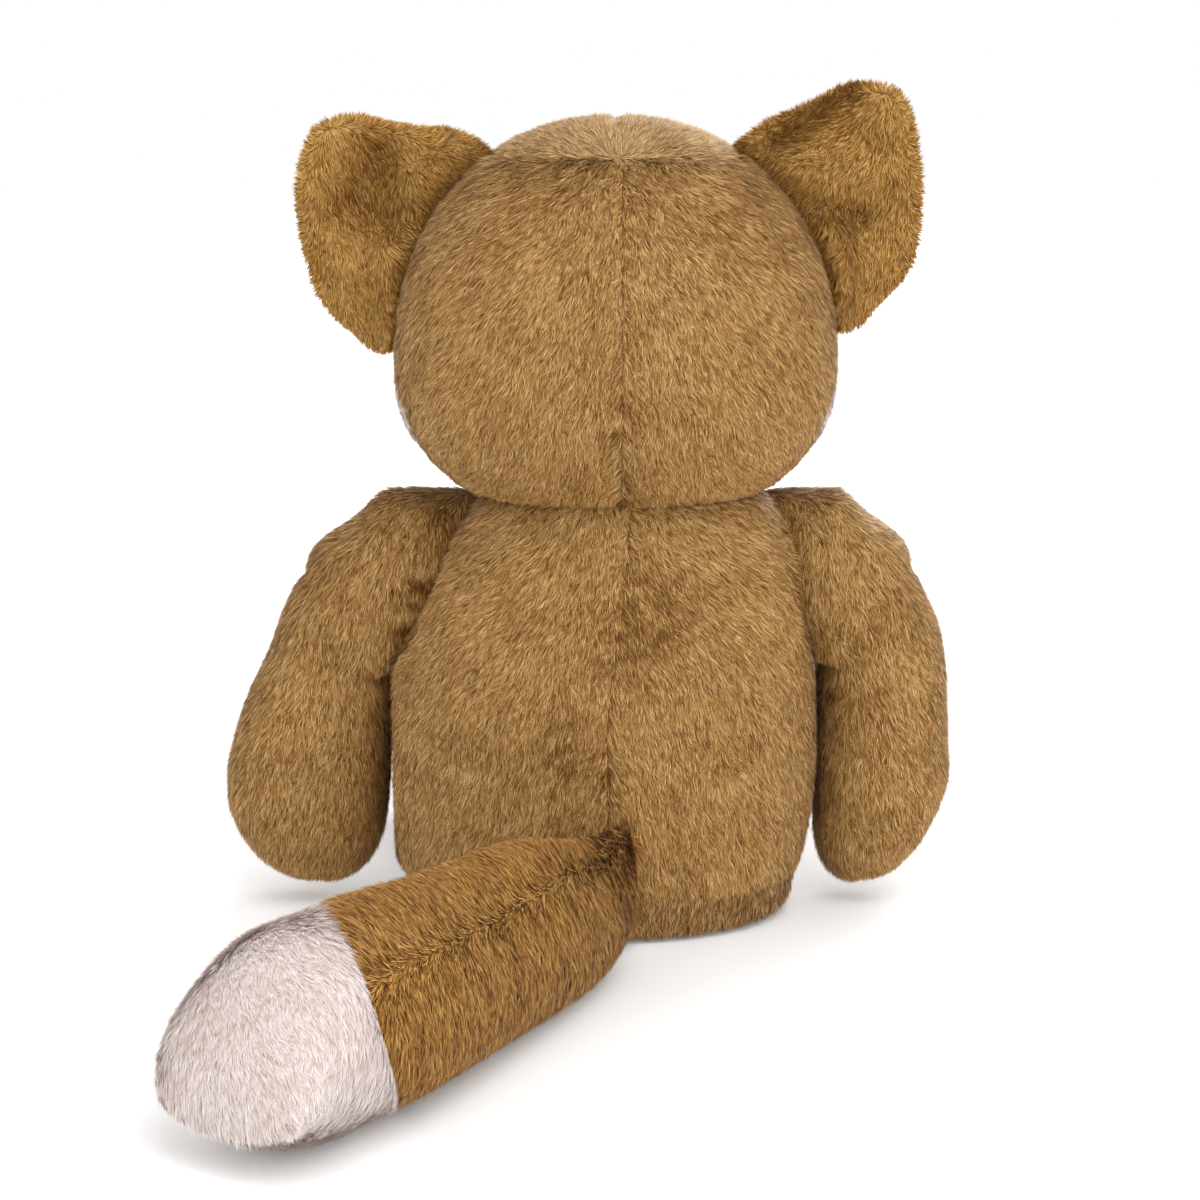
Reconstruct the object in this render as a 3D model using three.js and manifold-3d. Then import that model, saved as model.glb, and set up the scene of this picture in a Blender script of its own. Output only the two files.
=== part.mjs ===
import * as THREE from 'three';
import { mergeVertices } from 'three/addons/utils/BufferGeometryUtils.js';
import Module from 'manifold-3d';

// A stuffed toy fox sitting upright: millimetres, +Z up, the face towards -Y, the back towards +Y.
// The fox's left is +X. The origin is the middle of the flat seat, on the floor.

// Cloth and clearances
const skinThickness = 3;
const seamGap = 0.3;
const fillingGap = 0.6;
const flattening = 0.5;
const cutOverrun = 6;
const mergeDistance = 0.0001;

// Torso
const torsoHeight = 190;
const torsoHalfWidth = 97;
const torsoHalfDepth = 80;
const torsoWidestHeight = 80;
const torsoLowerReach = 150;
const neckHalfWidth = 63;
const seatRim = 12;
const seatSeamHeight = 20;
const neckLean = 11;
const leanStartHeight = 90;
const pouchHalfWidth = 46;
const pouchHalfDepth = 38;
const pouchHeight = 26;
const pouchLift = 8;
const pouchHole = 9;

// Head
const headHeight = 166;
const headHalfWidth = 99;
const headHalfDepth = 88;
const headWidestHeight = 55;
const headLowerReach = 66;
const headLean = 7;
const headSetForward = 6;
const browHeight = 62;
const crownSeamDrop = 15;

// Muzzle and nose
const muzzleHalfWidth = 37;
const muzzleHalfHeight = 27;
const muzzleLength = 58;
const muzzleBuried = 26;
const muzzleHeight = 40;
const noseHalfWidth = 12;
const noseHalfHeight = 8.5;
const noseHalfDepth = 7;
const noseRise = 7;

// Eyes, each a dome on a stem that a washer locks behind the cloth
const eyeRadius = 9;
const eyeDome = 5.5;
const eyeHeight = 74;
const eyeAngle = 0.42;
const stemRadius = 2.4;
const stemReach = 8;
const washerRadius = 6;
const washerThickness = 2;
const washerSeat = 4.8;
const eyeSeat = 0.5;
const stemClearance = 0.3;

// Ears, one on each side, each two layers of cloth sewn edge to edge
const earThickness = 4.2;
const earEdgeThickness = 2.4;
const earCurl = 10;
const ears = {
  left: { rootDrop: 14, rootSpan: 91, reach: 88, tipRise: 0, edgeSpan: 94 },
  right: { rootDrop: 12, rootSpan: 85, reach: 84, tipRise: 15, edgeSpan: 96 },
};

// Arms, each a sleeve that hangs from a round shoulder
const shoulderSet = 12;
const sleeveOpening = 5;
const armClearance = 0.4;
const flankFacet = 9;
const pawLift = 8;
const arms = {
  left: { shoulder: 92, drop: 37, ball: 35, spread: 42, half: 37, depth: 36 },
  right: { shoulder: 104, drop: 35, ball: 33, spread: 25, half: 31, depth: 35 },
};

// Legs, pinched flat at the front of the seat seam, lying forward on the floor
const hipHeight = 21;
const hipSpacing = 44;
const hipPinch = 3;
const hipHalfWidth = 25;
const legSplay = 0.24;
const legLength = 108;
const legHalfWidth = 31;
const legHalfHeight = 30;
const footRise = 3;
const footDome = 6;

// Tail, pinched flat at its root and swung to the fox's left
const tailRootShift = 13;
const tailRootHeight = 34;
const tailRootHalf = 22.5;
const tailPinch = 3;
const tailLength = 304;
const tailHalfWidth = 39;
const tailHalfHeight = 39.5;
const tailBearing = 0.41;
const tailBend = 0.27;
const tailSeamSlant = 0.69;
const tailSeamLean = 0.3;

// Outlines as shares: how far along, how far out, how wide
const armShares = {
  left: [[0, 0, 0.946], [0.124, 0.464, 0.84], [0.27, 0.72, 0.803], [0.4, 0.874, 0.87], [0.53, 0.957, 0.95],
    [0.655, 1, 1], [0.78, 0.995, 1], [1, 0.9, 0.95]],
  right: [[0, 0, 1.065], [0.156, 0.79, 0.915], [0.28, 0.94, 0.95], [0.41, 0.98, 0.97], [0.54, 1, 0.98],
    [0.66, 1, 1], [0.79, 0.89, 0.945], [1, 0.6, 0.9]],
};
const armStationShares = [0.1, 0.2, 0.3, 0.42, 0.54, 0.66, 0.77, 0.86, 0.93, 0.98];
const armGrownShare = 0.42;
const armRoundShare = 0.66;
const legShares = [[0, 0.1], [0.12, 0.5], [0.3, 0.8], [0.55, 0.88], [0.8, 1], [1, 0.97]];
const legStationShares = [0.06, 0.14, 0.26, 0.4, 0.56, 0.72, 0.88, 1];
const legHollowShare = 0.2;
const legSettledShare = 0.5;
const footDomeShares = [[1, 0], [0.8, 0.55], [0.45, 0.9]];
const tailShares = [[0, 0.077, 0.57], [0.07, 0.3, 0.66], [0.16, 0.5, 0.77], [0.32, 0.71, 0.93],
  [0.5, 0.87, 0.95], [0.7, 1, 1], [1, 0.96, 0.96]];
const tailStationShares = [0.03, 0.08, 0.16, 0.27, 0.39, 0.52, 0.66, 0.77, 0.84, 0.89, 0.935, 0.97, 0.99];
const tailSeamShare = 0.708;
const tailRoundShare = 0.82;
const tailHollowShare = 0.12;
const tailSettledShare = 0.32;
const tailDroopShare = 0.7;
const torsoWallShares = [1, 0.93, 0.84, 0.74, 0.64, 0.54, 0.42, 0.3, 0.19];
const pouchStationShares = [-1, -0.75, 0, 0.75, 1];
const muzzleStationShares = [0, 0.25, 0.5, 0.72, 0.88, 1];
const noseSetBackShare = 0.25;
const earEdgeShares = [[0, 0.57, 0.97], [0.15, 0.74, 1], [0.32, 0.92, 0.93], [0.55, 1, 0.62],
  [0.8, 0.91, 0.19], [1, 0.77, 0]];
const earStationShares = [0, 0.12, 0.3, 0.52, 0.76, 1];

// Facets
const bodyColumns = 28;
const headRowCount = 14;
const limbColumns = 16;
const fillingColumns = bodyColumns / 2;
const smallColumns = 12;
const noseRows = 8;
const eyeSteps = 4;
const earColumns = 8;
const hipSteps = 4;
const rimTurns = [Math.PI / 6, Math.PI / 3, Math.PI / 2];
const earRootTurns = [Math.PI / 2, Math.PI / 4];
const pinchTurns = [0, Math.PI / 5, Math.PI / 2.6];
const shoulderTurns = [Math.PI / 2, Math.PI / 2.8, Math.PI / 4.6, 0];
const sectionPower = 2.15;
const lowerPower = 2.2;
const neckPower = 2.3;
const capPower = 2.4;
const earRootPower = 4;
const earEdgePower = 3;

const wasm = await Module();
wasm.setup();

const group = new THREE.Group();
const neckHeight = torsoHeight;
const crown = { x: -headLean, y: -headSetForward, z: neckHeight + headHeight };

// Materials, one for each piece so that each can be given its own finish
const fawn = 0xa47c4a;
const darkFawn = 0x90673a;
const lightFawn = 0xb08d5c;
const cream = 0xe6dad2;
const stuffing = 0xf2efe8;
const black = 0x15120f;

function addPiece(name, geometry, color, roughness = 0.95) {
  const material = new THREE.MeshStandardMaterial({ color, roughness, metalness: 0 });
  const mesh = new THREE.Mesh(geometry, material);
  mesh.name = name;
  group.add(mesh);
  return mesh;
}

// A closed surface from a list of triangles: corners that meet are shared and faces without area dropped
function closedGeometry(corners) {
  const loose = new THREE.BufferGeometry().setFromPoints(corners);
  const merged = mergeVertices(loose, mergeDistance);
  const order = [];
  for (let i = 0; i < merged.index.count; i += 3) {
    const [a, b, c] = [merged.index.getX(i), merged.index.getX(i + 1), merged.index.getX(i + 2)];
    if (a !== b && b !== c && c !== a) {
      order.push(a, b, c);
    }
  }
  if (signedVolume(merged, order) < 0) {
    order.reverse();
  }
  merged.setIndex(order);
  merged.computeVertexNormals();
  return merged;
}

function signedVolume(geometry, order) {
  const place = geometry.getAttribute('position');
  const [a, b, c] = [new THREE.Vector3(), new THREE.Vector3(), new THREE.Vector3()];
  let volume = 0;
  for (let i = 0; i < order.length; i += 3) {
    a.fromBufferAttribute(place, order[i]);
    b.fromBufferAttribute(place, order[i + 1]);
    c.fromBufferAttribute(place, order[i + 2]);
    volume += a.dot(b.cross(c));
  }
  return volume;
}

// Two triangles between four corners, in order round the face
function face(corners, a, b, c, d) {
  corners.push(a, b, c, a, c, d);
}

// A closed body from rings of points, each ring closed, from one end to the other.
// An end ring that isn't a single point is closed by a flat fan.
function loft(rings) {
  const corners = [];
  const count = rings[0].length;
  for (let row = 0; row < rings.length - 1; row += 1) {
    for (let i = 0; i < count; i += 1) {
      const next = (i + 1) % count;
      face(corners, rings[row][i], rings[row][next], rings[row + 1][next], rings[row + 1][i]);
    }
  }
  const first = rings[0];
  const last = rings[rings.length - 1];
  const [start, end] = [middleOf(first), middleOf(last)];
  for (let i = 0; i < count; i += 1) {
    const next = (i + 1) % count;
    corners.push(start, first[next], first[i], end, last[i], last[next]);
  }
  return closedGeometry(corners);
}

function middleOf(points) {
  const sum = points.reduce((total, point) => total.add(point), new THREE.Vector3());
  return sum.divideScalar(points.length);
}

// A panel of cloth between an outer and an inner net of points, walled along its four edges
function panel(outer, inner) {
  const corners = [];
  const rows = outer.length;
  const columns = outer[0].length;
  for (let row = 0; row < rows - 1; row += 1) {
    for (let i = 0; i < columns - 1; i += 1) {
      face(corners, outer[row][i], outer[row][i + 1], outer[row + 1][i + 1], outer[row + 1][i]);
      face(corners, inner[row][i], inner[row + 1][i], inner[row + 1][i + 1], inner[row][i + 1]);
    }
    const end = columns - 1;
    face(corners, outer[row][0], outer[row + 1][0], inner[row + 1][0], inner[row][0]);
    face(corners, outer[row + 1][end], outer[row][end], inner[row][end], inner[row + 1][end]);
  }
  for (let i = 0; i < columns - 1; i += 1) {
    const top = rows - 1;
    face(corners, outer[0][i + 1], outer[0][i], inner[0][i], inner[0][i + 1]);
    face(corners, outer[top][i], outer[top][i + 1], inner[top][i + 1], inner[top][i]);
  }
  return closedGeometry(corners);
}

// A solid that can be cut or joined, and the way back
function solidOf(geometry) {
  const bare = geometry.clone();
  bare.deleteAttribute('normal');
  bare.deleteAttribute('uv');
  const merged = mergeVertices(bare, mergeDistance);
  const mesh = new wasm.Mesh({
    numProp: 3,
    vertProperties: new Float32Array(merged.getAttribute('position').array),
    triVerts: new Uint32Array(merged.index.array),
  });
  return new wasm.Manifold(mesh);
}

function geometryOf(solid) {
  const mesh = solid.getMesh();
  const geometry = new THREE.BufferGeometry();
  geometry.setAttribute('position', new THREE.BufferAttribute(new Float32Array(mesh.vertProperties), 3));
  geometry.setIndex(new THREE.BufferAttribute(new Uint32Array(mesh.triVerts), 1));
  geometry.computeVertexNormals();
  return geometry;
}

// A smooth value between the rows of a table: its first column says where each row stands
function valueAt(table, place, column) {
  const last = table.length - 1;
  const share = THREE.MathUtils.clamp(place, table[0][0], table[last][0]);
  let row = 0;
  while (row < last - 1 && share > table[row + 1][0]) {
    row += 1;
  }
  const slope = (at) => {
    const [before, after] = [Math.max(at - 1, 0), Math.min(at + 1, last)];
    return (table[after][column] - table[before][column]) / (table[after][0] - table[before][0]);
  };
  const step = table[row + 1][0] - table[row][0];
  const t = (share - table[row][0]) / step;
  const [start, end] = [table[row][column], table[row + 1][column]];
  const turn = step * (slope(row) * t * (1 - t) ** 2 - slope(row + 1) * t ** 2 * (1 - t));
  return start + (end - start) * t ** 2 * (3 - 2 * t) + turn;
}

// The point of a rounded section at an angle, as shares of its two half sizes
function sectionPoint(angle) {
  const [across, along] = [Math.cos(angle), Math.sin(angle)];
  const reach = (Math.abs(across) ** sectionPower + Math.abs(along) ** sectionPower) ** (-1 / sectionPower);
  return [across * reach, along * reach];
}

// How wide a swelling is at a share of its reach from the widest place
function swell(share, power) {
  return Math.max(0, 1 - Math.min(1, Math.abs(share)) ** power) ** (1 / power);
}

function angles(count, start = 0) {
  return Array.from({ length: count }, (_, i) => start + 2 * Math.PI * (i / count));
}

function arc(count, from, to) {
  return Array.from({ length: count + 1 }, (_, i) => from + (to - from) * (i / count));
}

const sideSign = { left: 1, right: -1 };

function shoulderHeight(side) {
  return neckHeight - arms[side].drop;
}

function armLength(side) {
  return shoulderHeight(side) - pawLift;
}

// Arms: where the sleeve lies at a drop below the shoulder, on either side
function armSection(side, drop) {
  const arm = arms[side];
  const share = drop / armLength(side);
  if (drop < 0) {
    const radius = arm.ball * swell(drop / arm.ball, 2);
    return { x: arm.shoulder, half: radius, depth: radius };
  }
  const shares = armShares[side];
  const width = valueAt(shares, share, 2);
  const start = shares[0][2];
  const cap = swell(Math.max(0, share - armRoundShare) / (1 - armRoundShare), capPower);
  const grow = THREE.MathUtils.smoothstep(share, 0, armGrownShare);
  const depth = THREE.MathUtils.lerp(arm.ball, arm.depth * width, grow);
  const half = arm.half * width * (share === 0 ? arm.ball / (arm.half * start) : 1);
  return { x: arm.shoulder + arm.spread * valueAt(shares, share, 1), half: half * cap, depth: depth * cap };
}

// The least distance from the middle plane that the arm reaches, at a radius from the shoulder's axis
function armSweep(side, radius) {
  const arm = arms[side];
  const ball = radius < arm.ball ? arm.shoulder - Math.sqrt(arm.ball ** 2 - radius ** 2) : arm.shoulder;
  const section = armSection(side, Math.min(radius, armLength(side) * armRoundShare));
  return Math.min(ball, section.x - section.half);
}

// Torso: rings from the neck down to the rim of the seat, and the flat seat inside the rim
function torsoCentre(height) {
  return -neckLean * THREE.MathUtils.smoothstep(height, leanStartHeight, torsoHeight);
}

function torsoShare(height, inset) {
  const above = height > torsoWidestHeight;
  const upperReach = (torsoHeight - torsoWidestHeight) / swell(neckHalfWidth / torsoHalfWidth, 2);
  const reach = (above ? upperReach : torsoLowerReach) - inset;
  return swell((height - torsoWidestHeight) / reach, above ? 2 : lowerPower);
}

function torsoRing(height, tuck, inset, around) {
  const share = torsoShare(height, inset);
  const halfX = (torsoHalfWidth - inset) * share - tuck;
  const halfY = (torsoHalfDepth - inset) * share - tuck;
  return around.map((angle) => {
    const [across, along] = sectionPoint(angle);
    const point = new THREE.Vector3(torsoCentre(height) + halfX * across, halfY * along, height);
    return pressedByArm(point, inset);
  });
}

// The flank is pressed in where the arm lies and swings, over a facet's width to either side
function pressedByArm(point, inset) {
  const side = point.x > 0 ? 'left' : 'right';
  const radius = Math.hypot(point.y + shoulderSet, point.z - shoulderHeight(side));
  const nearby = [Math.max(radius - flankFacet, 0), radius, radius + flankFacet];
  const limit = Math.min(...nearby.map((reach) => armSweep(side, reach))) - armClearance - inset;
  if (point.x * sideSign[side] > limit) {
    point.x = limit * sideSign[side];
  }
  return point;
}

function torsoWall(inset, around) {
  const rows = torsoWallShares.map((share) => torsoRing(torsoHeight * share, 0, inset, around));
  rows.push(torsoRing(seatSeamHeight, 0, inset, around));
  return rows;
}

// The seat's rim is a quarter round, and the bottom inside it is flat
function seatRows(inset, around) {
  const rim = seatRim - inset;
  const rows = [torsoRing(seatSeamHeight, 0, inset, around), torsoRing(seatRim, 0, inset, around)];
  for (const turn of rimTurns) {
    rows.push(torsoRing(seatRim - rim * Math.sin(turn), rim * (1 - Math.cos(turn)), inset, around));
  }
  return rows;
}

// Each panel is drawn back from its seams by half the gap
function drawBack(rows, { first, last, start, finish }) {
  const half = seamGap / 2;
  return rows.map((row, r) => row.map((point, i) => {
    const moved = point.clone();
    const pole = row[0].distanceTo(row[row.length - 1]) < mergeDistance;
    if (first && (i === 0 || pole)) {
      moved.addScaledVector(first, half);
    }
    if (last && (i === row.length - 1 || pole)) {
      moved.addScaledVector(last, half);
    }
    if (start && r === 0) {
      moved.addScaledVector(start, half);
    }
    if (finish && r === rows.length - 1) {
      moved.addScaledVector(finish, half);
    }
    return moved;
  }));
}

const along = {
  left: new THREE.Vector3(1, 0, 0),
  right: new THREE.Vector3(-1, 0, 0),
  back: new THREE.Vector3(0, 1, 0),
  front: new THREE.Vector3(0, -1, 0),
  up: new THREE.Vector3(0, 0, 1),
  down: new THREE.Vector3(0, 0, -1),
};

function torsoPanel(from, to, count, edges) {
  const around = arc(count, from, to);
  const outer = drawBack(torsoWall(0, around), edges);
  const inner = drawBack(torsoWall(skinThickness, around), edges);
  return panel(outer, inner);
}

const quarter = bodyColumns / 4;
addPiece('back_left_panel', torsoPanel(0, Math.PI / 2, quarter,
  { first: along.back, last: along.left, start: along.down, finish: along.up }), fawn);
addPiece('back_right_panel', torsoPanel(Math.PI / 2, Math.PI, quarter,
  { first: along.right, last: along.back, start: along.down, finish: along.up }), fawn);
addPiece('belly_panel', torsoPanel(Math.PI, 2 * Math.PI, 2 * quarter,
  { first: along.front, last: along.front, start: along.down, finish: along.up }), cream);

const wholeRound = angles(bodyColumns);
const seatOuter = drawBack(seatRows(0, wholeRound), { start: along.down });
const seatInner = drawBack(seatRows(skinThickness, wholeRound), { start: along.down });
addPiece('seat_panel', cup(seatOuter, seatInner), darkFawn);

// A cup is its outer rings from rim to end, and its inner rings back from end to rim
function cup(outer, inner) {
  const outerEnd = middleOf(outer[outer.length - 1]);
  const innerEnd = middleOf(inner[inner.length - 1]);
  const corners = [];
  const count = outer[0].length;
  for (let i = 0; i < count; i += 1) {
    const next = (i + 1) % count;
    for (let row = 0; row < outer.length - 1; row += 1) {
      face(corners, outer[row][i], outer[row + 1][i], outer[row + 1][next], outer[row][next]);
    }
    for (let row = 0; row < inner.length - 1; row += 1) {
      face(corners, inner[row][i], inner[row][next], inner[row + 1][next], inner[row + 1][i]);
    }
    face(corners, outer[0][i], outer[0][next], inner[0][next], inner[0][i]);
    corners.push(outerEnd, outer[outer.length - 1][next], outer[outer.length - 1][i]);
    corners.push(innerEnd, inner[inner.length - 1][i], inner[inner.length - 1][next]);
  }
  return closedGeometry(corners);
}

function rod(radius, length) {
  return new THREE.CylinderGeometry(radius, radius, length, smallColumns);
}

// Stuffing of the torso, hollowed at the bottom for the pouch of pellets
const fillingInset = skinThickness + fillingGap;
const torsoFillingRings = torsoWall(fillingInset, wholeRound);
torsoFillingRings[0].forEach((point) => {
  point.z -= seamGap / 2;
});
torsoFillingRings.push(torsoRing(seatRim, 0, fillingInset, wholeRound));
torsoFillingRings.push(torsoRing(fillingInset, seatRim - fillingInset, fillingInset, wholeRound));

function pouchRings(grow) {
  const middle = fillingInset + pouchLift + pouchHeight / 2;
  return pouchStationShares.map((share) => {
    const round = swell(share, capPower);
    return angles(smallColumns).map((angle) => new THREE.Vector3(
      (pouchHalfWidth + grow) * round * Math.cos(angle),
      (pouchHalfDepth + grow) * round * Math.sin(angle),
      middle + (pouchHeight / 2 + grow) * share,
    ));
  });
}

// The pouch is pushed in through a round hole in the bottom of the stuffing
const hole = rod(pouchHole, pouchLift + 2 * cutOverrun);
hole.rotateX(Math.PI / 2);
hole.translate(0, 0, fillingInset + pouchLift / 2);
const torsoFilling = solidOf(loft(torsoFillingRings))
  .subtract(solidOf(loft(pouchRings(seamGap))))
  .subtract(solidOf(hole));
addPiece('torso_filling', geometryOf(torsoFilling), stuffing);
addPiece('pellet_pouch', loft(pouchRings(0)), stuffing);

// Head: rings from the neck seam up to the crown
function headRing(turn, inset, around) {
  const upperReach = headHeight - headWidestHeight;
  const above = turn > 0;
  const power = above ? sectionPower : neckPower;
  const reach = (above ? upperReach : headLowerReach) - inset;
  const share = Math.abs(Math.cos(turn)) ** (2 / power);
  const rise = Math.sign(turn) * reach * Math.abs(Math.sin(turn)) ** (2 / power);
  return around.map((angle) => {
    const [across, alongY] = sectionPoint(angle);
    return new THREE.Vector3(
      crown.x + (headHalfWidth - inset) * share * across,
      crown.y + (headHalfDepth - inset) * share * alongY,
      neckHeight + headWidestHeight + rise,
    );
  });
}

// The turn at which the head's outline passes a height above the neck
function headTurn(height, inset) {
  const above = height > headWidestHeight;
  const power = above ? sectionPower : neckPower;
  const reach = (above ? headHeight - headWidestHeight : headLowerReach) - inset;
  const share = Math.min(1, Math.abs(height - headWidestHeight) / reach);
  return Math.sign(height - headWidestHeight) * Math.asin(share ** (power / 2));
}

// Rows evenly turned from just under the neck up to the crown, where they end in a point
function headRows(inset, around) {
  const start = headTurn(-cutOverrun, inset);
  return Array.from({ length: headRowCount + 1 }, (_, row) => headRing(
    THREE.MathUtils.lerp(start, Math.PI / 2, row / headRowCount), inset, around));
}

// The head's columns stand half a column off the centre seam, so that no seam runs along them
const halfColumn = Math.PI / bodyColumns;
const headRound = angles(bodyColumns, halfColumn);
const headShell = solidOf(cup(headRows(0, headRound), headRows(skinThickness, headRound)));
const beyond = headHeight + headHalfWidth + headHalfDepth;
const allWidth = [crown.x - beyond, crown.x + beyond];
const allDepth = [crown.y - beyond, crown.y + beyond];
const browSeam = neckHeight + browHeight;
const crownSeam = crown.z - crownSeamDrop;

// A block from low to high along each axis
function block(across, depth, height) {
  const sizes = [across, depth, height].map(([low, high]) => high - low);
  const middle = [across, depth, height].map(([low, high]) => (low + high) / 2);
  return solidOf(new THREE.BoxGeometry(...sizes).translate(...middle));
}

// Each side of the head is cut from the shell along its seams, less half a seam's gap at each:
// the centre seam, the seam behind the ears, the brow seam and the level seam under the crown
function headPieces(side) {
  const half = seamGap / 2;
  const across = [half, beyond].map((reach) => crown.x + sideSign[side] * reach).sort((a, b) => a - b);
  const front = [allDepth[0], crown.y - half];
  const back = [crown.y + half, allDepth[1]];
  const top = crown.z + half;
  const cap = block(across, allDepth, [crownSeam + half, top]);
  const brow = block(across, front, [browSeam + half, top]);
  return {
    back: headShell.intersect(block(across, back, [neckHeight + half, crownSeam - half])),
    cheek: headShell.intersect(block(across, front, [neckHeight + half, browSeam - half])),
    forehead: headShell.intersect(brow.add(cap)),
  };
}

// Where the eye's stem goes through the forehead, and the way that it points
function eyePlace(side) {
  const angle = -Math.PI / 2 + sideSign[side] * eyeAngle;
  const turn = headTurn(eyeHeight, 0);
  const nudge = seamGap / headHalfWidth;
  const [point, beside] = headRing(turn, 0, [angle, angle + nudge]);
  const [above] = headRing(turn + nudge, 0, [angle]);
  const outward = beside.sub(point).cross(above.sub(point)).normalize();
  return { point, outward };
}

function alongEye(geometry, side) {
  const { point, outward } = eyePlace(side);
  geometry.applyQuaternion(new THREE.Quaternion().setFromUnitVectors(new THREE.Vector3(0, 1, 0), outward));
  geometry.translate(point.x, point.y, point.z);
  return geometry;
}

for (const side of ['left', 'right']) {
  const { back, cheek, forehead } = headPieces(side);
  const stemHole = solidOf(alongEye(rod(stemRadius + stemClearance, 2 * cutOverrun), side));
  addPiece(`head_back_${side}`, geometryOf(back), fawn);
  addPiece(`cheek_${side}`, geometryOf(cheek), cream);
  addPiece(`forehead_${side}`, geometryOf(forehead.subtract(stemHole)), lightFawn);
}

// Stuffing of the head, with a pocket behind each eye
const headFillingRows = headRows(fillingInset, angles(fillingColumns, halfColumn))
  .filter((_, row) => row % 2 === 0);
const neckBlock = block(allWidth, allDepth, [neckHeight - beyond, neckHeight + seamGap]);
let headFilling = solidOf(loft(headFillingRows)).subtract(neckBlock);
for (const side of ['left', 'right']) {
  const pocketDepth = washerSeat + washerThickness + seamGap;
  const pocket = alongEye(rod(washerRadius + stemClearance, 2 * pocketDepth), side);
  const tip = alongEye(rod(stemRadius + stemClearance, 2 * (stemReach + seamGap)), side);
  headFilling = headFilling.subtract(solidOf(pocket)).subtract(solidOf(tip));
}
addPiece('head_filling', geometryOf(headFilling), stuffing);

// Eyes and washers are turned parts on the stem's axis
for (const side of ['left', 'right']) {
  const dome = [];
  for (let i = 0; i < eyeSteps; i += 1) {
    const turn = (Math.PI / 2) * (i / eyeSteps);
    dome.push(new THREE.Vector2(eyeRadius * Math.cos(turn), eyeSeat + eyeDome * Math.sin(turn)));
  }
  const outline = [
    new THREE.Vector2(0, -stemReach),
    new THREE.Vector2(stemRadius, -stemReach),
    new THREE.Vector2(stemRadius, eyeSeat),
    ...dome,
    new THREE.Vector2(0, eyeSeat + eyeDome),
  ];
  addPiece(`eye_${side}`, alongEye(new THREE.LatheGeometry(outline, smallColumns), side), black, 0.12);
  const bore = stemRadius + stemClearance;
  const ring = [
    new THREE.Vector2(bore, -washerSeat),
    new THREE.Vector2(bore, -washerSeat - washerThickness),
    new THREE.Vector2(washerRadius, -washerSeat - washerThickness),
    new THREE.Vector2(washerRadius, -washerSeat),
    new THREE.Vector2(bore, -washerSeat),
  ];
  addPiece(`eye_washer_${side}`, alongEye(new THREE.LatheGeometry(ring, smallColumns), side), stuffing, 0.5);
}

// Muzzle: a stuffed snout, its back cut to the face
const muzzleStart = crown.y - headHalfDepth + muzzleBuried;

function muzzleRings(grow) {
  return muzzleStationShares.map((share) => {
    const round = swell(share, capPower);
    const middle = neckHeight + muzzleHeight;
    return angles(limbColumns).map((angle) => {
      const [across, up] = sectionPoint(angle);
      return new THREE.Vector3(
        crown.x + (muzzleHalfWidth + grow) * round * across,
        muzzleStart - (muzzleBuried + muzzleLength + grow) * share,
        middle + (muzzleHalfHeight + grow) * round * up,
      );
    });
  });
}
const faceForm = solidOf(loft(headRows(-seamGap, headRound)));
const muzzle = solidOf(loft(muzzleRings(0))).subtract(faceForm);
addPiece('muzzle', geometryOf(muzzle), cream);

// Nose: a rounded button at the tip of the muzzle, its back cut to it
const noseForm = new THREE.SphereGeometry(1, smallColumns, noseRows);
const muzzleEnd = muzzleStart - muzzleBuried - muzzleLength;
noseForm.scale(noseHalfWidth, noseHalfDepth, noseHalfHeight);
const noseHeight = neckHeight + muzzleHeight + noseRise;
noseForm.translate(crown.x, muzzleEnd + noseHalfDepth * noseSetBackShare, noseHeight);
addPiece('nose', geometryOf(solidOf(noseForm).subtract(solidOf(loft(muzzleRings(seamGap))))), black, 0.6);

// Ears: a net of points from the seam on the head out to the edge, in two layers of cloth.
// The root's edge is rounded about the line that the ear flops on.
function headOutline(height) {
  const [edge] = headRing(headTurn(height - neckHeight, 0), 0, [0]);
  return edge.x - crown.x;
}

function earRoot(side, share) {
  const ear = ears[side];
  const height = crown.z - ear.rootDrop - ear.rootSpan * share;
  const narrowing = headOutline(height - earThickness) - headOutline(height + earThickness);
  const outward = new THREE.Vector2(2 * earThickness, narrowing).normalize();
  const place = new THREE.Vector2(headOutline(height), height);
  return { outward, place: place.addScaledVector(outward, earThickness + seamGap) };
}

function earEdge(side, share) {
  const ear = ears[side];
  const start = earRoot(side, 0).place.x;
  const out = start + ear.reach * valueAt(earEdgeShares, share, 1);
  const up = crown.z + ear.tipRise - ear.edgeSpan * (1 - valueAt(earEdgeShares, share, 2));
  return new THREE.Vector2(out, up);
}

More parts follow.
